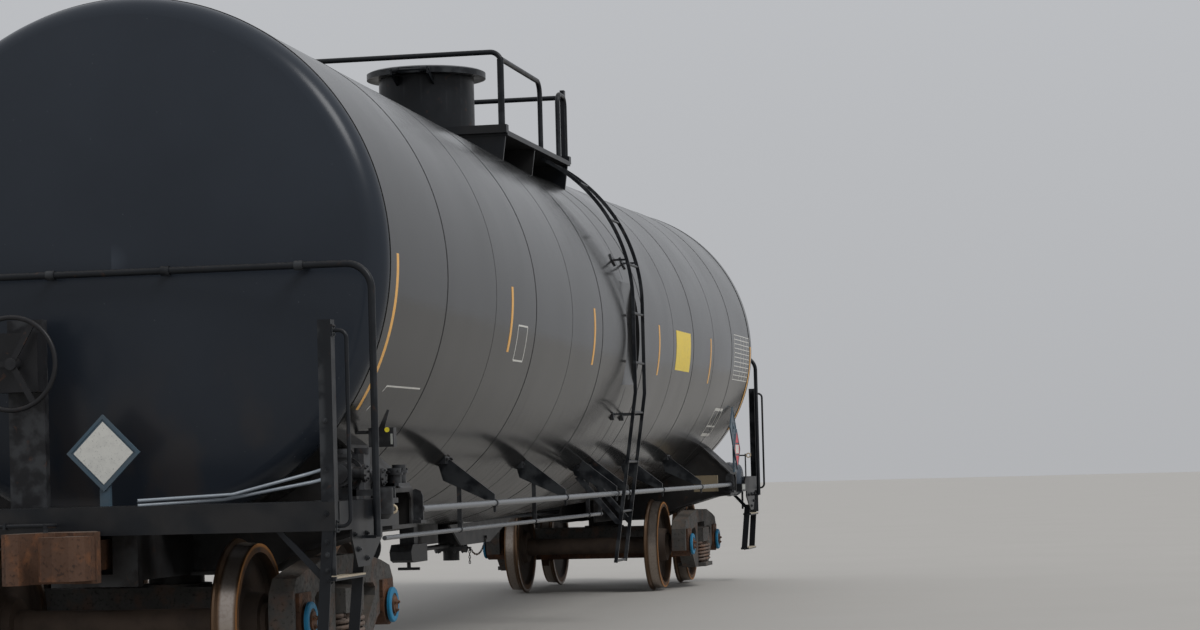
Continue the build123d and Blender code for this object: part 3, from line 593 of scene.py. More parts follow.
def lay_patch(shapes, corners, side, lift=MARK_LIFT):
    """Thin film on the jacket between four corners given as (x, z): two at the top, then two below."""
    top_a, top_b, low_b, low_a = [(x, jacket_angle(x, z)) for x, z in corners]
    rows = max(2, int(abs(top_a[1] - low_a[1]) / MARK_STEP) + 1)
    columns = max(1, int(abs(top_b[0] - top_a[0]) / MARK_STEP_X))
    grid = []
    for row in range(rows + 1):
        t = row / rows
        left = [a + (b - a) * t for a, b in zip(top_a, low_a)]
        right = [a + (b - a) * t for a, b in zip(top_b, low_b)]
        for column in range(columns + 1):
            share = column / columns
            grid.append([a + (b - a) * share for a, b in zip(left, right)])
    wide = columns + 1
    outer = [on_jacket(x, angle, side, lift) for x, angle in grid]
    inner = [on_jacket(x, angle, side, MARK_BACK) for x, angle in grid]
    count = len(grid)
    faces = []
    for row in range(rows):
        for column in range(columns):
            a = row * wide + column
            quad = (a, a + 1, a + 1 + wide, a + wide)
            faces.append(quad)
            faces.append(tuple(count + i for i in reversed(quad)))
    border = list(range(wide))
    border += [row * wide + columns for row in range(1, rows + 1)]
    border += [rows * wide + column for column in range(columns - 1, -1, -1)]
    border += [row * wide for row in range(rows - 1, 0, -1)]
    for a, b in zip(border, border[1:] + border[:1]):
        faces.append((b, a, count + a, count + b))
    shapes.add(outer + inner, faces)


def lay_line(shapes, start, end, side, width=0.012):
    """Painted line on the jacket from start to end, each (x, z)."""
    (x0, z0), (x1, z1) = start, end
    if abs(x1 - x0) > abs(z1 - z0):
        corners = [(x0, z0 + width / 2), (x1, z1 + width / 2), (x1, z1 - width / 2), (x0, z0 - width / 2)]
    else:
        if z0 < z1:
            (x0, z0), (x1, z1) = (x1, z1), (x0, z0)
        corners = [(x0 - width / 2, z0), (x0 + width / 2, z0), (x1 + width / 2, z1), (x1 - width / 2, z1)]
    lay_patch(shapes, corners, side)


# Reflective stripes: centre x, low z, high z; the two long ones are beside the rims
STRIPES = (
    (-7.402, 1.70, 2.61), (-4.37, 2.14, 2.59), (-1.42, 2.14, 2.59),
    (1.60, 2.14, 2.59), (4.65, 2.14, 2.59), (7.47, 1.70, 2.61),
)
STRIPE_WIDTH = 0.056

# Yellow panel, white frames with their line width, and the ruled table: x0, x1, high z, low z
PANEL = (2.53, 3.36, 2.585, 2.215)
WHITE_FRAMES = (((-4.15, -3.86, 2.333, 2.09), 0.012), ((5.74, 6.30, 1.905, 1.63), 0.014))
TABLE = (6.30, 7.40, 2.700, 2.225)
TABLE_ROWS = 10
TABLE_COLUMNS = (0.0, 0.43, 0.62, 0.81, 1.0)

# Other white lines: start and end as (x, z), and width
WHITE_LINES = (
    ((5.74, 1.897), (6.30, 1.897), 0.026), ((5.74, 1.638), (6.30, 1.638), 0.026),
    ((5.74, 1.724), (6.30, 1.724), 0.014), ((6.05, 1.905), (6.05, 1.724), 0.010),
    ((-7.05, 1.845), (-6.30, 1.845), 0.009), ((-7.05, 1.845), (-7.20, 1.70), 0.009),
)


def white_lines():
    """Start, end and width of every white line of one side: frames, the empty table, and the rest."""
    found = []
    for limits, width in WHITE_FRAMES:
        corners = rectangle(*limits)
        found += [(start, end, width) for start, end in zip(corners, corners[1:] + corners[:1])]
    left, right, top, low = TABLE
    for row in range(TABLE_ROWS + 1):
        z = top + (low - top) * row / TABLE_ROWS
        found.append(((left, z), (right, z), 0.008))
    for share in TABLE_COLUMNS:
        x = left + (right - left) * share
        found.append(((x, top), (x, low), 0.010))
    return found + list(WHITE_LINES)


def make_markings():
    """Stripes, the plain yellow panel and the white lines; the far side has them turned half round."""
    stripes, panels, lines = Shapes(), Shapes(), Shapes()
    for side in SIDES:
        turn = -side
        for x, low, high in STRIPES:
            left, right = turn * x - STRIPE_WIDTH / 2, turn * x + STRIPE_WIDTH / 2
            lift = RIM_BAND_LIFT + MARK_LIFT if abs(x) > RIM_BAND_X[0] else MARK_LIFT
            lay_patch(stripes, rectangle(left, right, high, low), side, lift)
        lay_patch(panels, [(turn * x, z) for x, z in rectangle(*PANEL)], side)
        for (x0, z0), (x1, z1), width in white_lines():
            lay_line(lines, (turn * x0, z0), (turn * x1, z1), side, width)
    stripes.piece("reflective_stripes", STRIPE, slot="jacket_paint")
    panels.piece("yellow_panels", PANEL_YELLOW, slot="jacket_paint")
    lines.piece("white_frames", WHITE, slot="jacket_paint")


# Jacket seams: main lap joints, lighter joints between them, and the span of the ladder pockets
MAIN_SEAMS = (-6.20, -3.60, -1.10, 0.80, 3.54, 6.10)
LIGHT_SEAMS = (-4.85, -2.30, 0.20, 2.37, 4.85)
SEAM_SEGMENTS = 256
SEAM_FOOT = -0.004
POCKET_X = (-0.03, 0.59)
POCKET_HALF_Z = 0.445


def seam_ring(shapes, x, profile):
    """Ring round the barrel, open at the ladder pockets; profile is (offset along, height over it)."""
    courses = [[]]
    for i in range(SEAM_SEGMENTS + 1):
        angle = math.pi / 2 + math.tau * i / SEAM_SEGMENTS
        height = tank_axis_z(x) + TANK_RADIUS * math.sin(angle) - TANK_MID_Z
        if POCKET_X[0] < x < POCKET_X[1] and abs(height) < POCKET_HALF_Z:
            if courses[-1]:
                courses.append([])
            continue
        courses[-1].append([on_jacket(x + along, angle, 1, lift) for along, lift in profile])
    if len(courses) == 1:
        shapes.rings(courses[0][:-1], closed=True)
        return
    first, *between, last = courses
    for loops in (last[:-1] + first, *between):
        shapes.rings(loops)


def make_seams():
    """Lap joints of the jacket sheets, and the bands at the rims."""
    dark, laps = Shapes(), Shapes()
    for x in MAIN_SEAMS:
        seam_ring(dark, x, rectangle(-0.005, 0.005, SEAM_FOOT, 0.001))
        seam_ring(laps, x + 0.020, [(-0.013, SEAM_FOOT), (0.015, SEAM_FOOT), (0.013, 0.002), (-0.013, 0.002)])
    for x in LIGHT_SEAMS:
        seam_ring(laps, x, [(-0.007, SEAM_FOOT), (0.007, SEAM_FOOT), (0.005, 0.0012), (-0.005, 0.0012)])
    middle, half = sum(RIM_BAND_X) / 2, (RIM_BAND_X[1] - RIM_BAND_X[0]) / 2
    for end in ENDS:
        seam_ring(laps, end * middle, rectangle(-half, half, SEAM_FOOT, RIM_BAND_LIFT))
        seam_ring(dark, end * (RIM_BAND_X[0] - 0.003), rectangle(-0.004, 0.004, SEAM_FOOT, 0.001))
    dark.piece("seam_gaps", SEAM_DARK, slot="jacket_paint")
    laps.piece("seam_laps", JACKET, slot="jacket_paint")


# Bearing caps on each axle end: blue ring as (y, radius), raised centre and three cap screws
CAP_RING = ((1.1310, 0.0740), (1.1360, 0.0740), (1.1360, 0.1040),
            (1.1290, 0.1120), (1.1130, 0.1120), (1.1130, 0.0990))
CAP_CENTRE_Y = (1.131, 1.143)
SCREW_CIRCLE = 0.033
SCREW_FOOT_Y = 1.1428
SCREW_TURN = 0.5
AXLES = ((1, -TRUCK_X - WHEELBASE_HALF), (2, -TRUCK_X + WHEELBASE_HALF),
         (3, TRUCK_X - WHEELBASE_HALF), (4, TRUCK_X + WHEELBASE_HALF))


def make_bearing_caps():
    """Rings, centres and screws that turn with each wheelset."""
    for number, axle_x in AXLES:
        rings, screws = Shapes(), Shapes()
        for side in SIDES:
            rings.hoop((axle_x, 0.0, AXLE_Z), "y", [(side * y, r) for y, r in CAP_RING], 48)
            screws.prism(*((axle_x, side * y, AXLE_Z) for y in CAP_CENTRE_Y), 0.056, 32)
            for i in range(3):
                angle = math.tau * i / 3 + SCREW_TURN
                x, z = axle_x + SCREW_CIRCLE * math.cos(angle), AXLE_Z + SCREW_CIRCLE * math.sin(angle)
                screws.bolt((x, side * SCREW_FOOT_Y, z), (0, side, 0), 0.013)
        rings.piece(f"cap_rings_{number}", CAP_BLUE, f"wheelset_{number}", "wheel_steel")
        screws.piece(f"cap_screws_{number}", BOLT_RUST, f"wheelset_{number}", "rusty_cast", smooth=False)


# Truck springs in place of the solids' plain columns; coils as ring and wire radius, turns, hand, sides
SPRING_LOW = 0.262
SPRING_HIGH = 0.490
SPRING_X = (-0.150, 0.0, 0.150)
SPRING_Y = (-0.075, 0.075)
COILS = ((0.0545, 0.0130, 5.6, 1, 8), (0.0290, 0.0080, 8.5, -1, 6))
STEPS_PER_TURN = 18


def coil(shapes, x, y, ring, wire, turns, hand, sides):
    """Round wire wound from the lower to the upper seat."""
    steps = round(turns * STEPS_PER_TURN)
    loops = []
    for i in range(steps + 1):
        angle = hand * math.tau * turns * i / steps
        z = SPRING_LOW + wire + (SPRING_HIGH - SPRING_LOW - 2 * wire) * i / steps
        section = [(ring + wire * math.cos(a), z + wire * math.sin(a))
                   for a in (math.tau * k / sides for k in range(sides))]
        loops.append([(x + r * math.cos(angle), y + r * math.sin(angle), rise) for r, rise in section])
    shapes.rings(loops)


def make_springs():
    """Nests of two coils, six at each end of a truck bolster."""
    for truck, end in (("a", -1), ("b", 1)):
        coils = Shapes()
        for side in SIDES:
            for dx in SPRING_X:
                for dy in SPRING_Y:
                    for size in COILS:
                        coil(coils, end * TRUCK_X + dx, side * JOURNAL_Y + dy, *size)
        piece = coils.piece(f"truck_{truck}_coils", SPRING_RUST, f"truck_{truck}", "spring_rust")
        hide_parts(f"truck_{truck}_springs")


# Small parts of the end structure: the faces they sit on
POST_X = 8.468
POST_BOLT_Y = 1.448
POST_FACE_Y = 1.492
BRACKET_FACE_Y = 1.4958
SILL_FACE_X = 8.520
STRAP_FACE_X = 8.518
GRAB_FEET_Z = (2.115, 1.040)
CLIP_Y = (0.350, 1.150)
HANDRAIL_X = 7.950
HANDRAIL_TOP_Z = 2.520

# Bolts: (z, face x) on posts, (x, z) on step brackets, (face x, hand) of the steps with (y, z) on each
POST_BOLTS = ((1.62, POST_X + 0.038), (1.35, POST_X + 0.038), (1.11, SILL_FACE_X),
              (0.955, STRAP_FACE_X), (0.885, STRAP_FACE_X), (0.80, STRAP_FACE_X))
BRACKET_BOLTS = ((7.90, 0.985), (7.90, 0.845), (8.07, 0.90), (7.66, 0.97), (8.15, 0.985))
STEP_FACES = ((7.894, -1), (8.518, 1))
TREAD_BOLTS = ((1.452, 0.748), (1.408, 0.364))


def make_end_trim():
    """Grab iron feet, handrail clips, and bolts of the posts, step brackets and treads."""
    trim = Shapes()
    for end in ENDS:
        for side in SIDES:
            for z, face_x in POST_BOLTS:
                trim.bolt((end * face_x, side * POST_BOLT_Y, z), (end, 0, 0), 0.013)
            for foot_z in GRAB_FEET_Z:
                foot = rectangle(end * POST_X - 0.024, end * POST_X + 0.024, foot_z - 0.034, foot_z + 0.034)
                trim.plate(foot, "y", side * (POST_FACE_Y - 0.001), side * (POST_FACE_Y + 0.006))
                for rise in (-0.023, 0.023):
                    at = (end * POST_X, side * (POST_FACE_Y + 0.0055), foot_z + rise)
                    trim.bolt(at, (0, side, 0), 0.008)
            for x, z in BRACKET_BOLTS:
                trim.bolt((end * x, side * BRACKET_FACE_Y, z), (0, side, 0), 0.014)
            for step_x, hand in STEP_FACES:
                for y, z in TREAD_BOLTS:
                    trim.bolt((end * step_x, side * y, z), (end * hand, 0, 0), 0.011)
            for y in CLIP_Y:
                edges = sorted((side * (y - 0.025), side * (y + 0.025)))
                trim.prism(*((end * HANDRAIL_X, edge, HANDRAIL_TOP_Z) for edge in edges), 0.028, 20)
                trim.bolt((end * 7.885, side * y, HANDRAIL_TOP_Z + 0.0045), (0, 0, 1), 0.009)
    trim.piece("end_trim", FRAME_BLACK, smooth=False)


# Ladders: where the stiles lean, stand upright and bend over the tank, and the rungs of both runs
STILE_X = (0.060, 0.500)
LADDER_X = 0.280
FOOT_Y, FOOT_Z = 1.420, 0.510
LADDER_Y = 1.628
LADDER_KNEE_Z = 1.950
LADDER_BEND_Z = 2.730
LADDER_ARC = 1.3932
LADDER_LEAN = (LADDER_Y - FOOT_Y) / (LADDER_KNEE_Z - FOOT_Z)
RUNG_PITCH = 0.420
FIRST_RUNG_Z = 0.525
STRAIGHT_RUNGS = 6
CURVED_RUNGS = 3

# Collars on a rung end: start and end from the stile, radius and sides; pads, and struts with their bars
RUNG_COLLARS = ((0.006, 0.018, 0.0148, 14), (0.017, 0.026, 0.009, 6), (-0.006, -0.014, 0.0148, 14))
LOW_PAD_Z, HIGH_PAD_Z = 1.770, 3.080
STRUT_X = (0.020, 0.540)
STRUT = ((1.095, 1.235), (1.135, 1.262), (1.472, 0.862), (1.472, 0.838), (1.440, 0.838))


def rung_places():
    """Half width and height of each rung, the straight run first and then the curve."""
    places = []
    for step in range(STRAIGHT_RUNGS + CURVED_RUNGS):
        z = FIRST_RUNG_Z + step * RUNG_PITCH
        if step < STRAIGHT_RUNGS:
            places.append((min(LADDER_Y, FOOT_Y + LADDER_LEAN * (z - FOOT_Z)), z))
        else:
            angle = (z - LADDER_BEND_Z) / LADDER_ARC
            across, up = LADDER_ARC * math.cos(angle), LADDER_ARC * math.sin(angle)
            places.append((LADDER_Y - LADDER_ARC + across, LADDER_BEND_Z + up))
    return places


def make_ladder_trim():
    """Rungs on the curve, collars at the rung ends, pads and struts."""
    trim = Shapes()
    for side in SIDES:
        for step, (y, z) in enumerate(rung_places()):
            if step >= STRAIGHT_RUNGS:
                trim.prism(*((x, side * y, z) for x in STILE_X), 0.011, 12)
            for x, hand in zip(STILE_X, (-1, 1)):
                for near, far, radius, count in RUNG_COLLARS:
                    trim.prism((x + hand * near, side * y, z), (x + hand * far, side * y, z), radius, count)
        for x in STILE_X:
            trim.prism((x, side * 1.400, LOW_PAD_Z), (x, side * 1.437, LOW_PAD_Z), 0.05, 4, math.pi / 4)
            angle = jacket_angle(x, HIGH_PAD_Z)
            trim.prism(*(on_jacket(x, angle, side, lift) for lift in (-0.01, 0.01)), 0.058, 4, math.pi / 4)
        for hand, strut_x in zip((-1, 1), STRUT_X):
            trim.plate([(side * y, z) for y, z in STRUT], "x", strut_x - 0.008, strut_x + 0.008)
            trim.box((LADDER_X + hand * 0.227, side * 1.446, 0.838), (strut_x, side * 1.472, 0.862))
    trim.piece("ladder_trim", FRAME_BLACK)


# Long pipes on both sides with their braces and end fins, and the thin lower pipe on the camera's side
BRACE_X = (-4.5, -2.1, 0.02, 0.54, 2.3, 4.6)
PIPE_Y, PIPE_Z = 1.450, 1.098
LOWER_Y, LOWER_Z = -1.200, 0.920
CLAMP_HALF = 0.009
BRACE_BOLT_Y, BRACE_BOLT_DROP = 1.1298, 1.13
FIN_X = (6.604, 6.618)
END_FIN = ((1.405, 1.030), (1.495, 1.030), (1.495, 1.178), (1.482, 1.209),
           (1.450, 1.223), (1.418, 1.209), (1.405, 1.178))
RESERVOIR_X, RESERVOIR_Z = 7.560, 1.150
RESERVOIR_BAND_Y = (-1.300, -1.150)


def make_clamps():
    """Clamps, flanges, fins and shelves of the long pipes, brace bolts, lower pipe, reservoir bands."""
    clamps, pipes = Shapes(), Shapes()
    for side in SIDES:
        y = side * PIPE_Y
        for x in BRACE_X:
            clamps.hoop((x, y, PIPE_Z), "x", rectangle(-CLAMP_HALF, CLAMP_HALF, 0.0205, 0.0275), 24)
            clamps.box((x - 0.005, y - 0.009, 1.046), (x + 0.005, y + 0.009, 1.074))
            clamps.bolt((x, y, 1.047), (0, 0, -1), 0.009)
            for along in (-0.06, 0.06):
                at = (x + along, side * BRACE_BOLT_Y, tank_axis_z(x) - BRACE_BOLT_DROP)
                clamps.bolt(at, (0, side, 0), 0.012)
        for end in ENDS:
            clamps.prism((end * 6.584, y, PIPE_Z), (end * FIN_X[0], y, PIPE_Z), 0.048, 28)
            clamps.plate([(side * a, z) for a, z in END_FIN], "x", *(end * x for x in FIN_X))
            clamps.box((end * 6.560, side * 1.380, 1.012), (end * 6.690, side * 1.500, 1.031))
            for x in (6.574, 6.648):
                clamps.bolt((end * x, side * 1.478, 1.0308), (0, 0, 1), 0.010)
    pipes.prism((-6.450, LOWER_Y, LOWER_Z), (0.600, LOWER_Y, LOWER_Z), 0.015, 16)
    for x in BRACE_X[:4]:
        clamps.box((x - 0.004, -1.216, 0.925), (x + 0.004, -1.184, 1.260))
        clamps.hoop((x, LOWER_Y, LOWER_Z), "x", rectangle(-CLAMP_HALF, CLAMP_HALF, 0.0145, 0.0205), 24)
        for hand in (-1, 1):
            clamps.bolt((x + hand * 0.0038, LOWER_Y, 0.975), (hand, 0, 0), 0.009)
    for y in RESERVOIR_BAND_Y:
        clamps.hoop((RESERVOIR_X, y, RESERVOIR_Z), "y", rectangle(-0.018, 0.018, 0.183, 0.190), 48)
    clamps.piece("pipe_clamps", CAST_BLACK, slot="cast_black")
    pipes.piece("lower_pipe", PIPE_PAINTED_SHEEN, slot="pipe_paint")


# Pull rods as x, start y, stop y, z; uncoupling levers across both ends, from the outer to the inner y
PULL_RODS = ((-7.420, -1.300, -1.503, 1.112), (7.560, -1.400, -1.503, 1.412))
EYE_RADIUS = 0.022
LEVER_X, LEVER_END_X = 8.572, 8.760
LEVER_OUTER_Y, LEVER_INNER_Y = 1.300, 0.090
LEVER_Z = 1.080


def make_rods():
    """Release rods that end in an eye, on the camera's side, and the levers at the couplers."""
    rods, levers = Shapes(), Shapes()
    for x, start, stop, z in PULL_RODS:
        rods.prism((x, start, z), (x, stop, z), 0.008, 12)
        rods.link((x, stop - EYE_RADIUS, z), (0, 1, 0), (0, 0, 1), EYE_RADIUS, 0.007, count=24)
    rods.piece("pull_rods", ROD_PAINT)
    levers.box((-7.430, -1.400, 1.098), (-7.410, -1.380, 1.147))
    levers.box((7.545, -1.496, 1.155), (7.575, -1.484, 1.430))
    for end in ENDS:
        side = -end
        x, outer, inner = end * LEVER_X, side * LEVER_OUTER_Y, side * LEVER_INNER_Y
        levers.bent([(x, outer, 0.800), (x, outer, LEVER_Z), (x, inner, LEVER_Z),
                     (end * LEVER_END_X, inner, LEVER_Z)], 0.012, 0.040)
        for y in (1.180, 0.400):
            levers.box((end * 8.518, side * y - 0.008, 1.062), (x + end * 0.016, side * y + 0.008, 1.098))
        levers.box((end * 8.735, inner - 0.010, 1.040), (end * 8.755, inner + 0.010, 1.082))
    levers.piece("release_levers", FRAME_BLACK)


# Bottom outlet: a short chain that hangs, a long one in a loop, and the gear with its T handle
LINK_PITCH = 0.022
LINK_RING, LINK_WIRE, LINK_STRETCH = 0.0071, 0.0034, 0.0055
HANGING_CHAIN = (Vector((0.0, -0.162, 0.664)), Vector((0.0, -0.162, 0.530)))
CHAIN_START = Vector((0.018, -0.162, 0.664))
CHAIN_SAG = Vector((0.175, -0.200, 0.510))
CHAIN_END = Vector((0.350, -0.228, 0.745))
CHAIN_STEPS = 32
GEAR_COVER = ((-1.660, 0.690), (-1.640, 0.620), (-1.560, 0.600),
              (-1.150, 0.600), (-1.150, 0.745), (-1.600, 0.745))
HANDLE_X, HANDLE_Z = -1.405, 0.545

# Brake cylinder: its axis, and its end flanges as (outer face x, hand)
CYLINDER_Y, CYLINDER_Z = -0.480, 0.815
CYLINDER_FACES = ((-4.910, -1), (-4.490, 1))
CYLINDER_FLANGE = 0.014


def chain(shapes, course):
    """Links along a row of points, each turned a quarter against the one before."""
    lengths = [0.0]
    for start, end in zip(course, course[1:]):
        lengths.append(lengths[-1] + (end - start).length)
    count = int(lengths[-1] / LINK_PITCH)
    for number in range(count):
        target = (number + 0.5) * lengths[-1] / count
        row = next(i for i in range(1, len(lengths)) if lengths[i] >= target)
        share = (target - lengths[row - 1]) / (lengths[row] - lengths[row - 1])
        along = (course[row] - course[row - 1]).normalized()
        across = along.cross(Vector((0, 1, 0))).normalized()
        if number % 2:
            across = along.cross(across)
        centre = course[row - 1].lerp(course[row], share)
        shapes.link(centre, along, across, LINK_RING, LINK_WIRE, LINK_STRETCH, 12, 6)


def make_outlet_trim():
    """Chain and operating gear of the bottom outlet, and the end flanges of the brake cylinder."""
    links, gear = Shapes(), Shapes()
    chain(links, HANGING_CHAIN)
    curve = []
    for i in range(CHAIN_STEPS + 1):
        t = i / CHAIN_STEPS
        curve.append((1 - t)**2 * CHAIN_START + 2 * t * (1 - t) * CHAIN_SAG + t * t * CHAIN_END)
    chain(links, curve)
    links.piece("outlet_chain", CHAIN_STEEL, slot="valve_steel")
    gear.box((-0.012, -0.172, 0.656), (0.030, -0.140, 0.672))
    gear.box((0.338, -0.236, 0.738), (0.362, -0.216, 0.758))
    gear.plate(GEAR_COVER, "y", -0.090, 0.090)
    gear.box((-1.450, -0.060, 0.740), (-1.330, 0.060, 0.915))
    gear.prism((HANDLE_X, 0, 0.605), (HANDLE_X, 0, HANDLE_Z), 0.016, 14)
    gear.prism((HANDLE_X, -0.090, HANDLE_Z), (HANDLE_X, 0.090, HANDLE_Z), 0.012, 12)
    gear.prism((-1.150, 0, 0.690), (-0.100, 0, 0.690), 0.020, 14)
    for x in (CYLINDER_FACES[0][0], CYLINDER_FACES[1][0] - CYLINDER_FLANGE):
        gear.prism((x, CYLINDER_Y, CYLINDER_Z), (x + CYLINDER_FLANGE, CYLINDER_Y, CYLINDER_Z), 0.152, 32)
    gear.piece("outlet_gear", CAST_BLACK, slot="cast_black")


# Control valve on its shelf: pipe bracket, one casting on each side of it, dirt bowl and two small valves
VALVE_Y = -1.300
SHELF_Z = 1.176
VALVE_FOOT_Z = SHELF_Z - 0.002
BRACKET_X = (-7.570, -7.390)
BRACKET_HALF_Y = 0.090
BRACKET_CORNER = 0.025
CASTINGS = ((BRACKET_X[0], -0.170, 0.072, 1.325), (BRACKET_X[1], 0.180, 0.066, 1.300))
BOWL_X, BOWL_Y = -7.720, -1.550
SMALL_VALVES = ((-7.100, 0.090), (-6.990, 0.110))

# Flange bolts: centre, direction, radius and number on each flange of the control valve
VALVE_FLANGES = (
    ((-7.5938, -1.30, 1.325), (-1, 0, 0), 0.082, 8), ((-7.3648, -1.30, 1.300), (1, 0, 0), 0.077, 8),
    ((-7.6635, -1.438, 1.325), (0, -1, 0), 0.042, 6), ((-7.2910, -1.438, 1.300), (0, -1, 0), 0.042, 6),
    ((-7.6635, -1.30, 1.438), (0, 0, 1), 0.045, 6), ((-7.2910, -1.30, 1.413), (0, 0, 1), 0.045, 6),
    ((-7.1000, -1.45, 1.325), (0, 0, 1), 0.047, 5), ((-6.9900, -1.45, 1.339), (0, 0, 1), 0.047, 5),
)


def valve_casting(shapes, x, reach, radius, z):
    """One casting bolted to the bracket, with its cap, a neck upwards and a neck outwards."""
    middle = x + reach * 0.55
    for low, high, size in ((0, 1, radius), (0, 0.14, radius + 0.024), (0.98, 1.12, radius - 0.018)):
        shapes.prism((x + reach * low, VALVE_Y, z), (x + reach * high, VALVE_Y, z), size, 28)
    for low, high, size in ((0, 0.145, 0.038), (0.095, 0.113, 0.052)):
        shapes.prism((middle, VALVE_Y, z + low), (middle, VALVE_Y, z + high), size, 20)
    for low, high, size in ((0, 0.121, 0.040), (0.120, 0.138, 0.054)):
        shapes.prism((middle, VALVE_Y - low, z), (middle, VALVE_Y - high, z), size, 20)


def make_control_valve():
    """The whole valve group on its shelf; it stands for the plain solid."""
    valve = Shapes()
    valve.box((-7.760, -1.484, 1.146), (-7.150, -1.150, SHELF_Z))
    (x0, x1), y0, y1, cut = BRACKET_X, VALVE_Y - BRACKET_HALF_Y, VALVE_Y + BRACKET_HALF_Y, BRACKET_CORNER
    bracket = [(x0 + cut, y0), (x1 - cut, y0), (x1, y0 + cut), (x1, y1 - cut), (x1 - cut, y1),
               (x0 + cut, y1), (x0, y1 - cut), (x0, y0 + cut)]
    valve.plate(bracket, "z", VALVE_FOOT_Z, 1.440)
    for casting in CASTINGS:
        valve_casting(valve, *casting)
    valve.prism((-7.480, -1.360, 1.435), (-7.480, -1.360, 1.475), 0.045, 20)
    valve.box((-7.750, -1.560, 1.196), (-7.690, VALVE_Y - 0.060, 1.232))
    valve.box((-7.750, VALVE_Y - 0.100, VALVE_FOOT_Z), (-7.690, VALVE_Y - 0.060, 1.232))
    valve.prism((BOWL_X, BOWL_Y, 1.090), (BOWL_X, BOWL_Y, 1.240), 0.058, 24)
    valve.prism((BOWL_X, BOWL_Y, 1.060), (BOWL_X, BOWL_Y, 1.091), 0.030, 24, end_radius=0.056)
    valve.box((-7.190, -1.475, VALVE_FOOT_Z), (-7.170, -1.320, 1.262))
    valve.box((-7.190, -1.500, 1.245), (-6.930, -1.400, 1.262))
    for x, height in SMALL_VALVES:
        valve.prism((x, -1.450, 1.261), (x, -1.450, 1.262 + height), 0.042, 20)
        valve.prism((x, -1.450, 1.262 + height * 0.55), (x, -1.450, 1.262 + height * 0.7), 0.052, 20)
    for flange in VALVE_FLANGES:
        valve.bolt_ring(*flange, 0.008)
    piece = valve.piece("valve_group", CAST_BLACK, slot="cast_black")
    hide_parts("control_valve")


def make_gauge_and_lines():
    """Gauge box on its arm with a lever, and the brake lines across the near end."""
    gauge, lines = Shapes(), Shapes()
    gauge.box((-7.112, -1.455, 1.480), (-7.048, -1.300, 1.595))
    gauge.box((-7.090, -1.310, 1.560), (-7.070, -1.190, 1.580))
    gauge.plate([(-1.355, 1.590), (-1.392, 1.590), (-1.424, 1.700), (-1.411, 1.704)], "x", -7.087, -7.073)
    gauge.piece("gauge_box", CAST_BLACK, slot="cast_black", smooth=False)
    for drop, y in ((0.0, -1.22), (0.045, -1.26)):
        course = [(-7.56, y, 1.375 - drop), (-7.90, y + 0.06, 1.330 - drop),
                  (-8.18, -0.80 + drop, 1.225 - drop * 0.6), (-8.46, -0.34, 1.205 - drop * 0.6)]
        lines.bent(course, 0.010, 0.12)
    lines.piece("brake_lines", LINE_STEEL, slot="pipe_paint")


# Plates and inserts, all blank; placards as x on the camera's side, z, and whether they hold an insert
PLACARDS = ((7.030, 1.480, True), (6.770, 1.715, False))
PLACARD_HALF = 0.222
PLACARD_BORDER = 0.026
PLACARD_FACE_Y = 1.474
PLACARD_FACE_X = 8.084
INSERT_HALF, INSERT_HIGH, INSERT_LOW = 0.192, 0.0705, 0.0535
END_INSERT_HALF = 0.180
PLATE_FOOT = -0.001


def diamond_frame(shapes, point, lift):
    """Raised border round a square on its corner; point(a, b, lift) gives the place of a plate coordinate."""
    inner = PLACARD_HALF - PLACARD_BORDER
    profile = ((PLACARD_HALF, PLATE_FOOT), (PLACARD_HALF, lift), (inner, lift), (inner, PLATE_FOOT))
    turns = ((-1, 0), (0, 1), (1, 0), (0, -1))
    shapes.rings([[point(a * r, b * r, rise) for r, rise in profile] for a, b in turns], closed=True)


def flat_patch(shapes, point, outline, lift):
    """Thin blank insert on a plate."""
    shapes.rings([[point(a, b, rise) for a, b in outline] for rise in (-0.0005, lift)])


def fill_placard(frames, red, white, point, filled):
    """Blank red and white insert of a placard, or the cross and knob of an empty one."""
    if not filled:
        for b in (-0.062, 0.062):
            flat_patch(frames, point, rectangle(-0.140, 0.140, b - 0.008, b + 0.008), 0.006)
        flat_patch(frames, point, rectangle(-0.010, 0.010, -0.060, 0.060), 0.005)
        frames.prism(point(0.05, 0, 0), point(0.05, 0, 0.010), 0.016, 16)
        return
    half, high, low = INSERT_HALF, INSERT_HIGH, INSERT_LOW
    for flip in (-1, 1):
        corner = [(high - half, flip * high), (half - high, flip * high), (0, flip * half)]
        flat_patch(red, point, corner, 0.003)
    middle = [(low - half, -low), (-half, 0), (low - half, low),
              (half - low, low), (half, 0), (half - low, -low)]
    flat_patch(red, point, middle, 0.003)
    flat_patch(white, point, rectangle(-0.115, 0.115, -0.046, 0.046), 0.004)


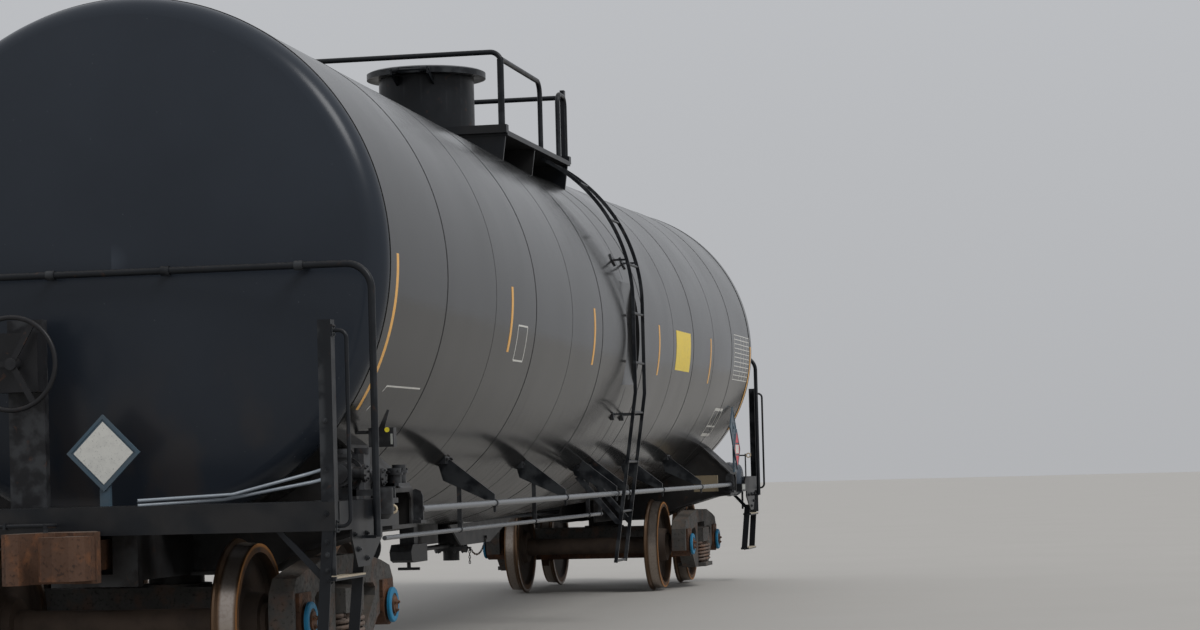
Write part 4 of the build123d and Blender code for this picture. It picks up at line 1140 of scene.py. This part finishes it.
def make_plates():
    """Placard frames with bars and inserts, the pale plates, the tan panel with its stay, the gauge's dot."""
    frames, red, white = Shapes(), Shapes(), Shapes()
    for side in SIDES:
        for x, z, filled in PLACARDS:
            def point(a, b, rise, x=-side * x, z=z, side=side):
                return (x + a, side * (PLACARD_FACE_Y + rise), z + b)
            diamond_frame(frames, point, 0.006)
            fill_placard(frames, red, white, point, filled)
    for end in ENDS:
        def point(a, b, rise, end=end):
            return (end * (PLACARD_FACE_X + rise), a, PLACARDS[0][1] + b)
        diamond_frame(frames, point, 0.005)
        half = END_INSERT_HALF
        flat_patch(white, point, [(-half, 0), (0, half), (half, 0), (0, -half)], 0.003)
    frames.piece("placard_frames", PLACARD_BLUE, slot="placard_blue", smooth=False)
    red.piece("placard_inserts", RED, slot="placard_blue", smooth=False)
    white.piece("placard_blanks", WHITE, slot="placard_blue", smooth=False)
    pale, tan, dot = Shapes(), Shapes(), Shapes()
    pale.box((7.215, -1.4985, 1.036), (7.435, -1.4955, 1.092))
    pale.box((-7.1145, -1.449, 1.495), (-7.111, -1.436, 1.558))
    pale.piece("pale_plates", PALE_PLATE, smooth=False)
    tan.box((6.020, -1.405, 1.035), (6.050, -1.150, 1.205))
    tan.prism((6.035, -1.160, 1.150), (6.035, -0.895, 1.260), 0.016, 12)
    tan.piece("tan_panel", TAN_PANEL, smooth=False)
    dot.prism((-7.111, -1.415, 1.582), (-7.1145, -1.415, 1.582), 0.0150, 20)
    dot.piece("gauge_dot", DOT_YELLOW, slot="cast_black")


def make_studs():
    """Studs of the bottom outlet and the brake cylinder."""
    studs = Shapes()
    for z, hand in ((0.680, 1), (0.640, -1)):
        studs.bolt_ring((0, 0, z), (0, 0, hand), 0.128, 10, 0.012)
    for x, hand in CYLINDER_FACES:
        studs.bolt_ring((x, CYLINDER_Y, CYLINDER_Z), (hand, 0, 0), 0.138, 8, 0.010)
    studs.piece("valve_studs", CAST_BLACK, slot="cast_black", smooth=False)


# Floor and light: half the floor's width, and the sky's colour at its ramp's two positions
FLOOR_HALF = 160.0
SKY = ((0.0, (0.56, 0.57, 0.59, 1)), (0.75, (0.86, 0.89, 0.94, 1)))
SKY_STRENGTH = 0.80
SUN_STRENGTH = 1.4
SUN_TURN = (math.radians(38), math.radians(-22), 0)


def make_stage():
    """Pale plain floor at the level of the wheels, soft sky and sun."""
    mesh = bpy.data.meshes.new("floor")
    corners = rectangle(-FLOOR_HALF, FLOOR_HALF, -FLOOR_HALF, FLOOR_HALF)
    mesh.from_pydata([(x, y, 0) for x, y in corners], [], [(0, 1, 2, 3)])
    floor = bpy.data.objects.new("floor", mesh)
    bpy.context.scene.collection.objects.link(floor)
    s = Surface("floor_pale")
    mesh.materials.append(s.finish(s.mix(s.noise(0.6, 6), (0.39, 0.37, 0.34), (0.42, 0.40, 0.37)), 0.85))
    world = bpy.data.worlds.new("studio")
    bpy.context.scene.world = world
    world.use_nodes = True
    tree = world.node_tree
    background = tree.nodes["Background"]
    coords = tree.nodes.new("ShaderNodeTexCoord")
    split = tree.nodes.new("ShaderNodeSeparateXYZ")
    tree.links.new(coords.outputs["Generated"], split.inputs["Vector"])
    ramp = tree.nodes.new("ShaderNodeValToRGB")
    for stop, (position, colour) in zip(ramp.color_ramp.elements, SKY):
        stop.position, stop.color = position, colour
    tree.links.new(split.outputs["Z"], ramp.inputs["Fac"])
    tree.links.new(ramp.outputs["Color"], background.inputs["Color"])
    background.inputs["Strength"].default_value = SKY_STRENGTH
    sun = bpy.data.lights.new("soft_sun", "SUN")
    sun.energy = SUN_STRENGTH
    sun.angle = math.radians(25)
    lamp = bpy.data.objects.new("soft_sun", sun)
    lamp.rotation_euler = SUN_TURN
    bpy.context.scene.collection.objects.link(lamp)


scene = bpy.context.scene
scene.view_settings.view_transform = "Standard"
make_camera()
make_stage()
dress_nodes()
make_seams()
make_markings()
make_bearing_caps()
make_springs()
make_end_trim()
make_ladder_trim()
make_clamps()
make_rods()
make_outlet_trim()
make_control_valve()
make_gauge_and_lines()
make_plates()
make_studs()

bpy.context.view_layer.update()
